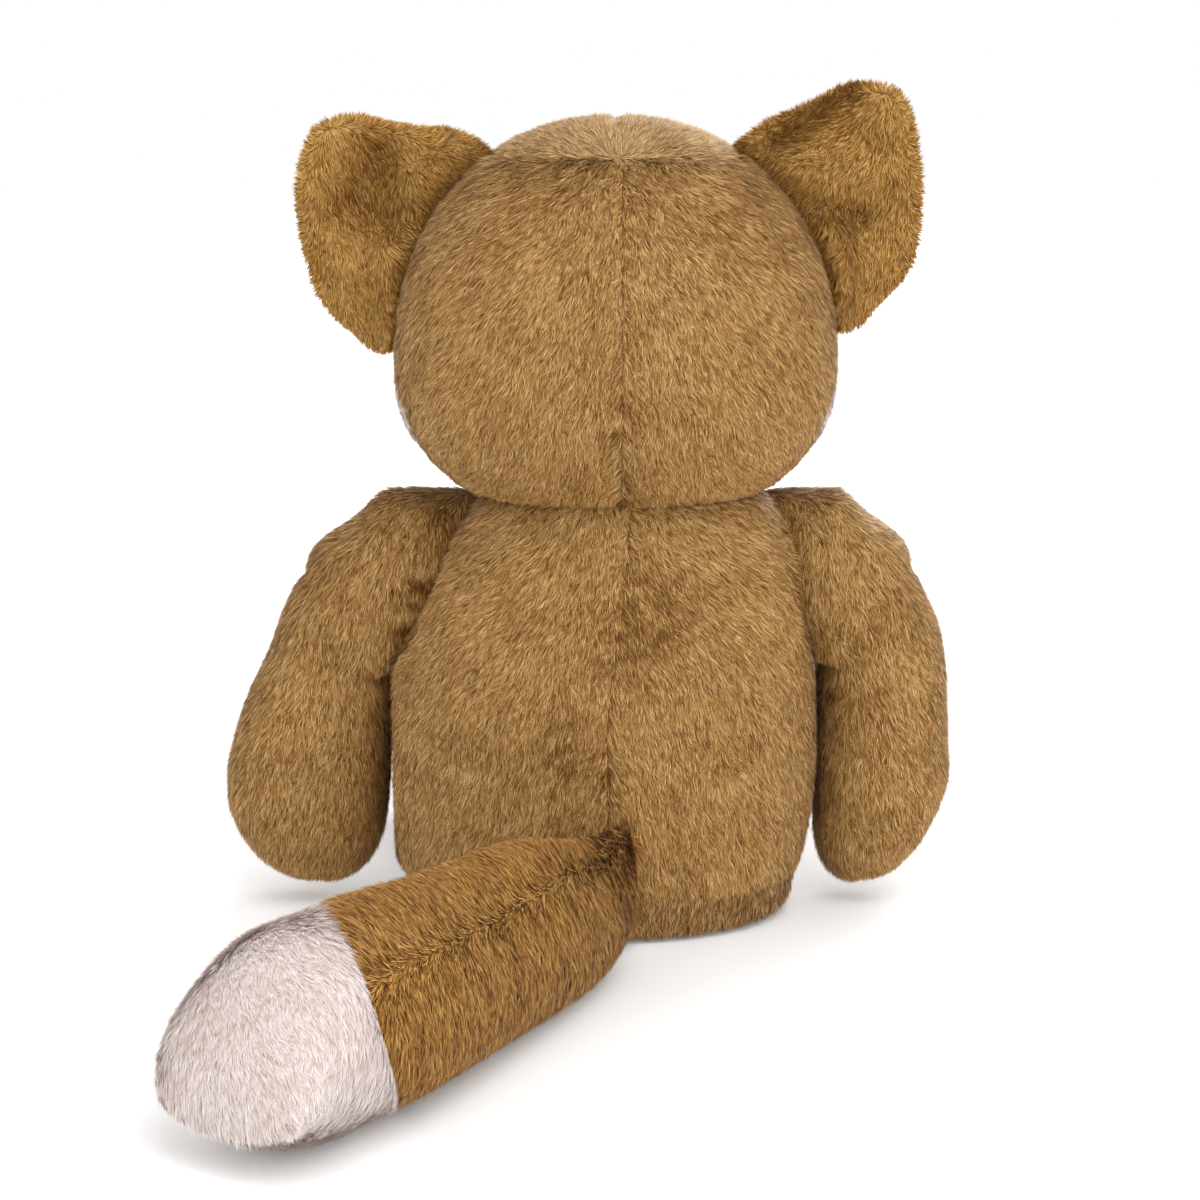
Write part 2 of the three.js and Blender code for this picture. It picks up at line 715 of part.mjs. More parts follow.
// One layer: layer is 1 for the back and -1 for the lining
function earSheet(side, layer) {
  const outer = [];
  const inner = [];
  const columns = Array.from({ length: earColumns + 1 }, (_, i) => i / earColumns);
  const swung = (flat, depth) => new THREE.Vector3(
    crown.x + sideSign[side] * flat.x, crown.y + depth, flat.y,
  );
  const row = (placeAt, thicknessAt, curlAt) => {
    const near = columns.map((share) => swung(placeAt(share), curlAt(share) + layer * seamGap / 2));
    const far = columns.map((share) => {
      const thick = Math.max(thicknessAt(share), seamGap / 2);
      return swung(placeAt(share), curlAt(share) + layer * thick);
    });
    outer.push(far);
    inner.push(near);
  };
  const rootHalf = (share) => {
    const full = swell(2 * share - 1, earRootPower);
    return THREE.MathUtils.lerp(earEdgeThickness, earThickness, full);
  };
  for (const turn of earRootTurns) {
    row(
      (share) => earRoot(side, share).place.addScaledVector(
        earRoot(side, share).outward, -rootHalf(share) * Math.sin(turn)),
      (share) => rootHalf(share) * Math.cos(turn),
      () => 0,
    );
  }
  for (const station of earStationShares) {
    row(
      (share) => earRoot(side, share).place.lerp(earEdge(side, share), station),
      (share) => THREE.MathUtils.lerp(earEdgeThickness / 2, rootHalf(share), swell(station, earEdgePower)),
      (share) => -earCurl * station * (2 * share - 1) ** 2,
    );
  }
  return panel(outer, inner);
}

for (const side of ['left', 'right']) {
  addPiece(`ear_back_${side}`, earSheet(side, 1), fawn);
  addPiece(`ear_lining_${side}`, earSheet(side, -1), cream);
}

// Arms: a round shoulder above, and level rings down to the paw
function armRings(side, inset, columns, stations) {
  const arm = arms[side];
  const around = angles(columns);
  const ring = (drop) => {
    const section = armSection(side, drop);
    const shrink = (size) => Math.max(size - inset, 0);
    return around.map((angle) => {
      const [across, depth] = drop > 0 ? sectionPoint(angle) : [Math.cos(angle), Math.sin(angle)];
      return new THREE.Vector3(
        sideSign[side] * (section.x + shrink(section.half) * across),
        -shoulderSet + shrink(section.depth) * depth,
        shoulderHeight(side) - drop,
      );
    });
  };
  const rings = [];
  for (const turn of shoulderTurns) {
    rings.push(ring(-(arm.ball - inset) * Math.sin(turn)).map((point) => {
      const flat = new THREE.Vector2(point.x - sideSign[side] * arm.shoulder, point.y + shoulderSet);
      flat.setLength((arm.ball - inset) * Math.cos(turn));
      return point.setX(sideSign[side] * arm.shoulder + flat.x).setY(flat.y - shoulderSet);
    }));
  }
  for (const station of stations) {
    rings.push(ring(station * armLength(side) - (station > armRoundShare ? inset : 0)));
  }
  return rings;
}

function armSleeve(side) {
  const arm = arms[side];
  const outer = solidOf(loft(armRings(side, 0, limbColumns, armStationShares)));
  const inner = solidOf(loft(armRings(side, skinThickness, limbColumns, armStationShares)));
  const mouth = rod(sleeveOpening, arm.ball);
  mouth.rotateZ(Math.PI / 2);
  mouth.translate(sideSign[side] * (arm.shoulder - arm.ball), -shoulderSet, shoulderHeight(side));
  return geometryOf(outer.subtract(inner).subtract(solidOf(mouth)));
}

for (const side of ['left', 'right']) {
  const filling = armRings(side, fillingInset, limbColumns / 2, armStationShares);
  addPiece(`arm_sleeve_${side}`, armSleeve(side), fawn);
  addPiece(`arm_filling_${side}`, loft(filling), stuffing);
}

// How far the torso stands out at a place across, in front and behind alike, on the ring at a height
function torsoDepth(across, height) {
  const ring = torsoRing(height, 0, 0, wholeRound);
  let depth = 0;
  ring.forEach((start, i) => {
    const end = ring[(i + 1) % ring.length];
    const share = (across - start.x) / (end.x - start.x);
    if (share >= 0 && share <= 1) {
      depth = Math.max(depth, THREE.MathUtils.lerp(start.y, end.y, share));
    }
  });
  return depth;
}

// How far forward the fold must be for the whole pinched seam to clear the torso
function hipPlace() {
  let forward = 0;
  for (let i = -hipSteps; i <= hipSteps; i += 1) {
    const offset = hipHalfWidth * (i / hipSteps);
    const across = hipSpacing + offset * Math.cos(legSplay);
    forward = Math.max(forward, torsoDepth(across, seatSeamHeight) + offset * Math.sin(legSplay));
  }
  return forward + hipPinch + seamGap;
}

// Legs: rings that stand across the way the leg lies
function legRing(side, share, inset) {
  const sign = sideSign[side];
  const rise = valueAt(legShares, share, 1);
  const halfHeight = Math.max(legHalfHeight * rise, hipPinch);
  const halfWidth = THREE.MathUtils.lerp(hipHalfWidth, legHalfWidth, share);
  const lying = halfHeight - flattening + footRise * share * share;
  return {
    start: new THREE.Vector3(sign * hipSpacing, -hipPlace(), 0),
    forward: new THREE.Vector3(sign * Math.sin(legSplay), -Math.cos(legSplay), 0),
    aside: new THREE.Vector3(Math.cos(legSplay), sign * Math.sin(legSplay), 0),
    middle: THREE.MathUtils.lerp(hipHeight, lying, THREE.MathUtils.smoothstep(share, 0, legSettledShare)),
    reach: legLength * share,
    halfHeight: halfHeight - inset,
    halfWidth: halfWidth - inset,
  };
}

function ringPoints(section, columns, floor) {
  return angles(columns).map((angle) => {
    const [across, up] = sectionPoint(angle);
    const point = section.start.clone().addScaledVector(section.forward, section.reach);
    point.addScaledVector(section.aside, section.halfWidth * across);
    point.z = Math.max(section.middle + section.halfHeight * up, floor);
    return point;
  });
}

function pinched(section, radius, turn) {
  const reach = section.reach - radius * Math.sin(turn);
  return { ...section, reach, halfHeight: section.halfHeight * Math.cos(turn) };
}

// Stuffing is lofted through the hollow's own sections, root first, and ends a little short of the cloth
function stuffed(sections) {
  sections[0].reach += fillingGap;
  sections[sections.length - 1].reach -= fillingGap;
  return loft(sections.map((section) => ringPoints(section, limbColumns / 2, fillingInset)));
}

for (const side of ['left', 'right']) {
  const fromFoot = [...legStationShares].reverse();
  const outer = fromFoot.map((share) => ringPoints(legRing(side, share, 0), limbColumns, 0));
  for (const turn of pinchTurns) {
    outer.push(ringPoints(pinched(legRing(side, 0, 0), hipPinch, turn), limbColumns, 0));
  }
  const hollow = legStationShares.filter((share) => share > legHollowShare);
  const inner = [...hollow].reverse().map((share) => ringPoints(
    legRing(side, share, skinThickness), limbColumns, skinThickness));
  addPiece(`leg_sleeve_${side}`, cup(outer, inner), fawn);
  const filling = stuffed(hollow.map((share) => legRing(side, share, fillingInset)));
  addPiece(`leg_filling_${side}`, filling, stuffing);
  const soleRing = (width, height) => {
    const section = legRing(side, 1, 0);
    section.reach += seamGap + height;
    section.halfWidth *= width;
    section.halfHeight *= width;
    return ringPoints(section, limbColumns, 0);
  };
  const dome = footDomeShares.map(([width, height]) => soleRing(width, skinThickness + footDome * height));
  addPiece(`foot_pad_${side}`, loft([soleRing(1, 0), ...dome]), cream);
}

// Tail: rings that stand across the way that it points, from the pinched root out to the tip
const tailRootPlace = (() => {
  const top = Math.min(tailRootHeight + tailRootHalf, torsoWidestHeight);
  return torsoDepth(-tailRootShift, top) + tailPinch + seamGap;
})();

function tailRing(share, inset) {
  const cap = swell(Math.max(0, share - tailRoundShare) / (1 - tailRoundShare), 2);
  const halfHeight = tailHalfHeight * valueAt(tailShares, share, 2);
  const halfWidth = Math.max(tailHalfWidth * valueAt(tailShares, share, 1), tailPinch);
  const lying = halfHeight * THREE.MathUtils.lerp(1, cap, tailDroopShare) - flattening;
  const settle = THREE.MathUtils.smoothstep(share, 0, tailSettledShare);
  // The middle line is an arc whose bearing turns evenly from root to tip
  const bearing = tailBearing + tailBend * share;
  const radius = tailLength / tailBend;
  const place = new THREE.Vector3(
    -tailRootShift + radius * (Math.cos(tailBearing) - Math.cos(bearing)),
    tailRootPlace + radius * (Math.sin(bearing) - Math.sin(tailBearing)),
    0,
  );
  return {
    start: place,
    forward: new THREE.Vector3(Math.sin(bearing), Math.cos(bearing), 0),
    aside: new THREE.Vector3(Math.cos(bearing), -Math.sin(bearing), 0),
    middle: THREE.MathUtils.lerp(tailRootHeight, lying, settle),
    reach: 0,
    halfHeight: (halfHeight - inset) * cap,
    halfWidth: (halfWidth - inset) * cap,
  };
}

const tailSections = (stations, inset) => stations.map(
  (share) => ringPoints(tailRing(share, inset), limbColumns, inset));
const tailOuter = tailSections([...tailStationShares].reverse(), 0);
for (const turn of pinchTurns) {
  const section = pinched(tailRing(0, 0), tailPinch, turn);
  section.halfWidth *= Math.cos(turn);
  section.halfHeight = tailRootHalf;
  tailOuter.push(ringPoints(section, limbColumns, 0));
}

// The hollow follows the outside, and ends short of it at the tip by twice the cloth's thickness
const tailHollow = tailStationShares.filter((share) => share > tailHollowShare)
  .map((share) => share * (1 - 2 * skinThickness / tailLength));
const tailShell = solidOf(loft(tailOuter)).subtract(solidOf(loft(tailSections(tailHollow, skinThickness))));

// The ring seam lies in a plane turned from square across the tail: end is 1 for the tip's side of it
function tailPiece(end) {
  const { start, forward, aside, middle } = tailRing(tailSeamShare, 0);
  const across = forward.clone().multiplyScalar(Math.cos(tailSeamSlant))
    .addScaledVector(aside, Math.sin(tailSeamSlant)).multiplyScalar(Math.cos(tailSeamLean));
  const outward = across.addScaledVector(along.down, Math.sin(tailSeamLean));
  const side = new THREE.BoxGeometry(2 * tailLength, 2 * tailLength, tailLength);
  side.translate(0, 0, end * (tailLength + seamGap) / 2);
  side.applyQuaternion(new THREE.Quaternion().setFromUnitVectors(along.up, outward));
  side.translate(start.x, start.y, middle);
  return geometryOf(tailShell.intersect(solidOf(side)));
}

addPiece('tail_sleeve', tailPiece(-1), darkFawn);
addPiece('tail_tip', tailPiece(1), cream);
addPiece('tail_filling', stuffed(tailHollow.map((share) => tailRing(share, fillingInset))), stuffing);

export default group;
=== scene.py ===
import math

import bpy
import numpy as np
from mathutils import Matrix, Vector


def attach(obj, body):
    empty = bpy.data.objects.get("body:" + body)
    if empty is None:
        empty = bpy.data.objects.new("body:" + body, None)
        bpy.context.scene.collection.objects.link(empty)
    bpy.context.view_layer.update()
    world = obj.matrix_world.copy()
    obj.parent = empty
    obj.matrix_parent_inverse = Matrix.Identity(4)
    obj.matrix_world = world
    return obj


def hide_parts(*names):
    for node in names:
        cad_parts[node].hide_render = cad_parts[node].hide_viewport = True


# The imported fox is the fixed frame: metres, +Z up, the face towards -Y and the back towards +Y.
# Its left is +X, which is on the left of the picture, because the toy is seen from behind.
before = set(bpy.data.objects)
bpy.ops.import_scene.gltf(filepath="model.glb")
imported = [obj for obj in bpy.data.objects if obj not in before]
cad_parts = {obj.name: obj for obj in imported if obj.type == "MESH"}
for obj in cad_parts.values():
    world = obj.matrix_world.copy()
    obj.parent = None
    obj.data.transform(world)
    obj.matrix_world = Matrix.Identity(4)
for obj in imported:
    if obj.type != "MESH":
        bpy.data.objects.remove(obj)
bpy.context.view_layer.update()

# The camera stands behind the toy, a little above it, and looks down at the angle of the photograph.
# Its lens is long, so the tail and the head are hardly drawn apart.
camera_place = Vector((0, 1.3766, 0.3951))
looking_down = math.radians(10.5)
picture_side = 1200
focal_pixels = 3111
sensor_side = 36
seen_to = 50
camera = bpy.data.objects.new("camera", bpy.data.cameras.new("camera"))
camera.data.sensor_width = sensor_side
camera.data.lens = sensor_side * focal_pixels / picture_side
camera.data.clip_end = seen_to
camera.location = camera_place
looking = Vector((0, -math.cos(looking_down), -math.sin(looking_down)))
camera.rotation_euler = looking.to_track_quat("-Z", "Y").to_euler()
bpy.context.scene.collection.objects.link(camera)
bpy.context.scene.camera = camera

# A plain white table and a white room, with broad soft lamps above and behind the camera, weaker ones
# on the flank and before the face, and the room's own light from everywhere. The table whitens far off.
floor_half = 6.0
floor_drop = 0.0003
floor_white = 0.90
floor_glow = 0.12
far_glow = 0.62
near_distance = 0.35
far_distance = 1.6
room_light = 0.82
lamps = {
    "lamp_over": {"place": (-0.45, 1.05, 1.65), "side": 1.5, "watts": 16.5},
    "lamp_back": {"place": (-0.7, 2.3, 0.75), "side": 1.4, "watts": 11.5},
    "lamp_left": {"place": (1.6, 0.5, 0.9), "side": 1.1, "watts": 5.0},
    "lamp_face": {"place": (-0.9, -1.7, 1.1), "side": 1.3, "watts": 30.0},
}
lamp_target = Vector((0, 0, 0.18))

corners = np.array([(-1, -1), (1, -1), (1, 1), (-1, 1)]) * floor_half
floor_mesh = bpy.data.meshes.new("floor")
floor_mesh.from_pydata([(x, y, -floor_drop) for x, y in corners], [], [(0, 1, 2, 3)])
floor = bpy.data.objects.new("floor", floor_mesh)
bpy.context.scene.collection.objects.link(floor)


def join(tree, node, inputs):
    """Each named input of a shader node holds a value, or takes another node's output."""
    for key, value in inputs.items():
        if isinstance(value, bpy.types.NodeSocket):
            tree.links.new(value, node.inputs[key])
        else:
            node.inputs[key].default_value = value


def add(tree, kind, inputs={}, **settings):
    """A new shader node with its settings and inputs. Its outputs come back."""
    node = tree.nodes.new(kind)
    for key, value in settings.items():
        setattr(node, key, value)
    join(tree, node, inputs)
    return node.outputs


def room_finish(tree, plain, seen):
    """The strength seen by rays that show the background: plain for other rays, seen for those."""
    path = add(tree, "ShaderNodeLightPath")
    rays = path["Is Camera Ray"]
    for other in ("Is Glossy Ray", "Is Transmission Ray"):
        rays = add(tree, "ShaderNodeMath", {0: rays, 1: path[other]}, operation="MAXIMUM")[0]
    return add(tree, "ShaderNodeMapRange", {"To Min": plain, "To Max": seen, "Value": rays})["Result"]


table_top = bpy.data.materials.new("white_table")
table_top.use_nodes = True
tree = table_top.node_tree
tree.nodes.clear()
place = add(tree, "ShaderNodeTexCoord")["Object"]
distance = add(tree, "ShaderNodeVectorMath", {0: place}, operation="LENGTH")["Value"]
whiter = add(tree, "ShaderNodeMapRange", {
    "Value": distance, "From Min": near_distance, "From Max": far_distance,
    "To Min": floor_glow, "To Max": far_glow})["Result"]
shown = add(tree, "ShaderNodeMath", {0: whiter, 1: room_finish(tree, 0, 1)}, operation="MULTIPLY")[0]
glow = add(tree, "ShaderNodeEmission", {"Strength": shown})[0]
diffuse = add(tree, "ShaderNodeBsdfDiffuse", {"Color": (floor_white, floor_white, floor_white, 1)})[0]
add(tree, "ShaderNodeOutputMaterial", {"Surface": add(tree, "ShaderNodeAddShader", {0: diffuse, 1: glow})[0]})
floor_mesh.materials.append(table_top)

world = bpy.data.worlds.new("white_room")
world.use_nodes = True
tree = world.node_tree
join(tree, tree.nodes["Background"], {"Color": (1, 1, 1, 1), "Strength": room_finish(tree, room_light, 1)})
bpy.context.scene.world = world
bpy.context.scene.view_settings.view_transform = "Standard"

for name, lamp in lamps.items():
    light = bpy.data.lights.new(name, "AREA")
    light.shape = "SQUARE"
    light.size = lamp["side"]
    light.energy = lamp["watts"]
    holder = bpy.data.objects.new(name, light)
    holder.location = lamp["place"]
    holder.rotation_euler = (lamp_target - holder.location).to_track_quat("-Z", "Y").to_euler()
    bpy.context.scene.collection.objects.link(holder)

# Torso back: two panels of long-pile cloth, a knitted backing with a soft pile about 7 mm long,
# sewn together along the spine and to the head, the belly and the seat. The arms press in the flanks.
# A row of an arm's shares is a place down the sleeve, how far it has spread out, and its width.
torso_height = 0.190
torso_half_width = 0.097
torso_half_depth = 0.080
torso_widest = 0.080
torso_lower_reach = 0.150
neck_half_width = 0.063
neck_lean = 0.011
lean_start = 0.090
seat_seam = 0.020
section_power = 2.15
torso_lower_power = 2.2
shoulder_set = 0.012
arm_clearance = 0.0004
flank_facet = 0.009
paw_lift = 0.008
arm_grown_share = 0.42
arm_round_share = 0.66
cap_power = 2.4
arms = {
    "left": {"sign": 1, "shoulder": 0.092, "drop": 0.037, "ball": 0.035, "spread": 0.042, "half": 0.037,
             "bulge": 0.0060, "neck_reach": 0.052, "depth": 0.036,
             "shares": [(0, 0, 0.946), (0.124, 0.464, 0.84), (0.27, 0.72, 0.803), (0.4, 0.874, 0.87),
                        (0.53, 0.957, 0.95), (0.655, 1, 1), (0.78, 0.995, 1), (1, 0.9, 0.95)]},
    "right": {"sign": -1, "shoulder": 0.104, "drop": 0.035, "ball": 0.033, "spread": 0.025, "half": 0.031,
              "bulge": 0.0038, "neck_reach": 0.071, "depth": 0.035,
              "shares": [(0, 0, 1.065), (0.156, 0.79, 0.915), (0.28, 0.94, 0.95), (0.41, 0.98, 0.97),
                         (0.54, 1, 0.98), (0.66, 1, 1), (0.79, 0.89, 0.945), (1, 0.6, 0.9)]},
}
pile_height = 0.0021
pile_length = 0.0072
pile_width = 0.00062
pile_density = 5.6e6
pile_lift = math.radians(14)
pile_spread = 0.32
wave_shares = (0.7, 1.4)
lay_waves = {0.016: 0.15, 0.0045: 0.17}
lay_scatter = 0.15
rise_wave = 0.005
rise_wave_share = 0.16
rise_scatter_share = 0.30
rise_range = (0.03, 1.2)
length_shares = (0.70, 1.12)
width_shares = (0.7, 1.3)
roll_scatter = 0.3
back_facing = 0.5
edge_facing = 0.35
tip_facing = 0.4
tone_waves = {0.03: 0.035, 0.004: 0.045, 0.0022: 0.06}
tone_range = (0.02, 0.96)
tone_aside = 0.012
root_mark = 0.06
tip_mark = 0.97
# The backing under the pile: a darker tone, at the roots' full painted shade.
shaded_skin_marks = [(0.30, 0.01), (0.31, 0.01), (0.31, 0.03)]
backing_thickness = 0.0005
pressed_pile = 0.001
pressed_reach = 0.010
seam_groove = 0.0013
seam_groove_width = 0.0022
seam_short_reach = 0.006
seam_short_share = 0.6
seam_shade = 0.28
seam_shade_width = 0.0017
parting = 0.55
parting_width = 0.0045
neck_level_reach = 0.012
floor_touch = 0.0002
merging_steps = 1e6
batch = 8000
far_away = 1.0
stuffed_fill = 0.7
# Where along a strand the painted root shade ends.
root_shade_end = 0.75


def rounded(turn, power=section_power):
    """Across and along shares of a rounded section: cosine and sine over the power mean of the two."""
    across, along = np.cos(turn), np.sin(turn)
    reach = (np.abs(across) ** power + np.abs(along) ** power) ** (-1 / power)
    return across * reach, along * reach


def swelling(share, power):
    """Width at a share of the reach from the widest place: one less its power, to one over the power."""
    return np.maximum(0, 1 - np.minimum(1, np.abs(share)) ** power) ** (1 / power)


def eased(value, low, high):
    """Zero below low, one above high, and three squares less two cubes between them."""
    t = np.clip((value - low) / (high - low), 0, 1)
    return t * t * (3 - 2 * t)


def risen(share, value, low, high):
    """A share up to low, one from high on, and an eased way between them."""
    return share + (1 - share) * eased(value, low, high)


def reading(shares, place, column):
    """A smooth value between a table's rows: a cubic whose slope at a row is that between its neighbours."""
    table = np.array(shares, float)
    at, value = table[:, 0], table[:, column]
    last = len(at) - 1
    place = np.clip(place, at[0], at[last])
    row = np.clip(np.searchsorted(at, place) - 1, 0, last - 1)
    before, after = np.maximum(np.arange(last + 1) - 1, 0), np.minimum(np.arange(last + 1) + 1, last)
    slope = (value[after] - value[before]) / (at[after] - at[before])
    step = at[row + 1] - at[row]
    t = (place - at[row]) / step
    turn = step * (slope[row] * t * (1 - t) ** 2 - slope[row + 1] * t ** 2 * (1 - t))
    return value[row] + (value[row + 1] - value[row]) * t ** 2 * (3 - 2 * t) + turn


def wavering(spots, length, seed, count=14):
    """A smooth random value of mean zero and spread one: a sum of sines whose waves are about length long."""
    draw = np.random.default_rng(seed)
    waves = draw.normal(size=(count, 3))
    steep = (2 * np.pi / length) * draw.uniform(*wave_shares, (count, 1))
    waves *= steep / np.linalg.norm(waves, axis=1)[:, None]
    return np.sin(spots @ waves.T + draw.uniform(0, 2 * np.pi, count)).sum(-1) * math.sqrt(2 / count)


def together(*parts):
    """Places or directions from their three parts, each spread to a like shape."""
    return np.stack(np.broadcast_arrays(*parts), -1)


def unit(vectors):
    """Vectors over their own lengths."""
    return vectors / np.maximum(np.linalg.norm(vectors, axis=-1), np.finfo(float).tiny)[..., None]


def shoulder_height(arm):
    """The shoulder's height: the torso's, less the arm's drop."""
    return torso_height - arm["drop"]


def arm_section(arm, drop):
    """Middle, half width and half depth of the sleeve at a drop below the shoulder, read from its shares."""
    share = np.maximum(drop, 0) / (shoulder_height(arm) - paw_lift)
    width = reading(arm["shares"], share, 2)
    cap = swelling(np.maximum(0, share - arm_round_share) / (1 - arm_round_share), cap_power)
    grow = eased(share, 0, arm_grown_share)
    depth = (arm["ball"] + (arm["depth"] * width - arm["ball"]) * grow) * cap
    half = arm["half"] * width * cap
    ball = arm["ball"] * swelling(np.minimum(drop, 0) / arm["ball"], 2)
    middle = arm["shoulder"] + arm["spread"] * reading(arm["shares"], share, 1)
    return middle, np.where(drop < 0, ball, half), np.where(drop < 0, ball, depth)


def arm_sweep(arm, radius):
    """The least distance from the middle plane that the arm reaches at a radius from the shoulder's axis."""
    inner = np.sqrt(np.maximum(arm["ball"] ** 2 - radius ** 2, 0))
    drop = np.minimum(radius, (shoulder_height(arm) - paw_lift) * arm_round_share)
    middle, half, _ = arm_section(arm, drop)
    return np.minimum(arm["shoulder"] - inner, middle - half)


def flank_limit(arm, radius):
    """How far out the flank may reach at a radius: the arm's least sweep there and a facet to each side."""
    nearby = [arm_sweep(arm, np.maximum(radius + offset, 0)) for offset in (-flank_facet, 0, flank_facet)]
    return np.minimum.reduce(nearby) - arm_clearance


def flank_room(arm, spots):
    """How far inside the flank's limit each spot is, by its radius from the shoulder's axis."""
    radius = np.hypot(spots[..., 1] + shoulder_set, spots[..., 2] - shoulder_height(arm))
    return flank_limit(arm, radius) - spots[..., 0] * arm["sign"]


def torso_spots(turn, height):
    """Torso: at each height a rounded ring, swollen about the widest place, leaning to the fox's right at the
    neck, and pressed in beside the arms."""
    upper_reach = (torso_height - torso_widest) / swelling(neck_half_width / torso_half_width, 2)
    rise = height - torso_widest
    lower = swelling(rise / torso_lower_reach, torso_lower_power)
    share = np.where(rise > 0, swelling(rise / upper_reach, 2), lower)
    across, depth = rounded(turn)
    x = -neck_lean * eased(height, lean_start, torso_height) + torso_half_width * share * across
    y = torso_half_depth * share * depth
    spots = together(x, y, height)
    for arm in arms.values():
        spots[..., 0] += arm["sign"] * np.minimum(flank_room(arm, spots), 0)
    return spots


def free_depth(share):
    """The backing's depth between pressed pile and free pile, at a share of the way."""
    return pressed_pile + (pile_height - pressed_pile) * share


def torso_sink(spots):
    """The backing's depth under the outline: the pile's height, and less where the arm presses the flank."""
    sink = np.full(len(spots), pile_height)
    for arm in arms.values():
        inside = spots[:, 0] * arm["sign"] > 0
        pressed = 1 - eased(flank_room(arm, spots), 0, pressed_reach)
        sink -= np.where(inside, (pile_height - pressed_pile) * pressed, 0)
    return sink


def woven(net, inside, keep=None):
    """Corners and triangles of a net of points: like corners are one, and faces turn away from inside.
    keep is a mask of the net's cells, and cells outside it are left open."""
    across = net[:-1, 1:] - net[:-1, :-1]
    along = net[1:, :-1] - net[:-1, :-1]
    if (np.cross(across, along) * (net[:-1, :-1] - inside)).sum() < 0:
        net = net[:, ::-1]
        keep = None if keep is None else keep[:, ::-1]
    rows, columns = net.shape[:2]
    flat = net.reshape(-1, 3)
    rounded_off = np.round(flat * merging_steps).astype(np.int64)
    _, first, place = np.unique(rounded_off, axis=0, return_index=True, return_inverse=True)
    corner = place.reshape(rows, columns)
    cells = np.stack([corner[:-1, :-1], corner[:-1, 1:], corner[1:, 1:], corner[1:, :-1]], -1)
    cells = cells.reshape(-1, 4) if keep is None else cells[keep]
    faces = np.concatenate([cells[:, [0, 1, 2]], cells[:, [0, 2, 3]]])
    whole = (faces[:, 0] != faces[:, 1]) & (faces[:, 1] != faces[:, 2]) & (faces[:, 2] != faces[:, 0])
    faces = faces[whole]
    used, faces = np.unique(faces, return_inverse=True)
    return flat[first][used], faces.reshape(-1, 3)


def outward(corners, faces):
    """Each corner's normal: the sum of the cross products of the faces round it, made a unit."""
    a, b, c = (corners[faces[:, i]] for i in range(3))
    turn = np.cross(b - a, c - a)
    total = np.zeros_like(corners)
    for i in range(3):
        np.add.at(total, faces[:, i], turn)
    return unit(total)


def seam_distance(spots, seams):
    """Distance from each spot to the nearest point of the seams, far away where there is no seam."""
    nearest = np.full(len(spots), far_away)
    for seam in seams:
        for start in range(0, len(spots), batch):
            some = slice(start, start + batch)
            gap = np.linalg.norm(spots[some, None] - seam[None], axis=-1).min(1)
            nearest[some] = np.minimum(nearest[some], gap)
    return nearest


def make_piece(name, corners, faces, normals, corner_marks, finish):
    """A mesh object from corners, triangles, a normal for each corner and a UV mark for each face corner."""
    mesh = bpy.data.meshes.new(name)
    mesh.vertices.add(len(corners))
    mesh.vertices.foreach_set("co", corners.astype(np.float32).ravel())
    mesh.loops.add(faces.size)
    mesh.loops.foreach_set("vertex_index", faces.astype(np.int32).ravel())
    mesh.polygons.add(len(faces))
    mesh.polygons.foreach_set("loop_start", np.arange(0, faces.size, 3, dtype=np.int32))
    mesh.uv_layers.new(name="OFBake").data.foreach_set("uv", corner_marks.astype(np.float32).ravel())
    mesh.update(calc_edges=True)
    mesh.polygons.foreach_set("use_smooth", np.ones(len(faces), bool))
    if normals is not None:
        stored = mesh.attributes.new("custom_normal", "FLOAT_VECTOR", "POINT")
        stored.data.foreach_set("vector", unit(normals).astype(np.float32).ravel())
    mesh.materials.append(finish)
    piece = bpy.data.objects.new(name, mesh)
    bpy.context.scene.collection.objects.link(piece)
    return piece


def plain_tint(spots):
    """No change of tone."""
    return np.zeros(len(spots))


def full_length(spots):
    """The whole length left."""
    return np.ones(len(spots))


def waves_over(spots, waves, seed):
    """The sum of soft waves, each a length and its own strength, the first drawn from the seed."""
    return sum(strength * wavering(spots, wave, seed + i) for i, (wave, strength) in enumerate(waves.items()))


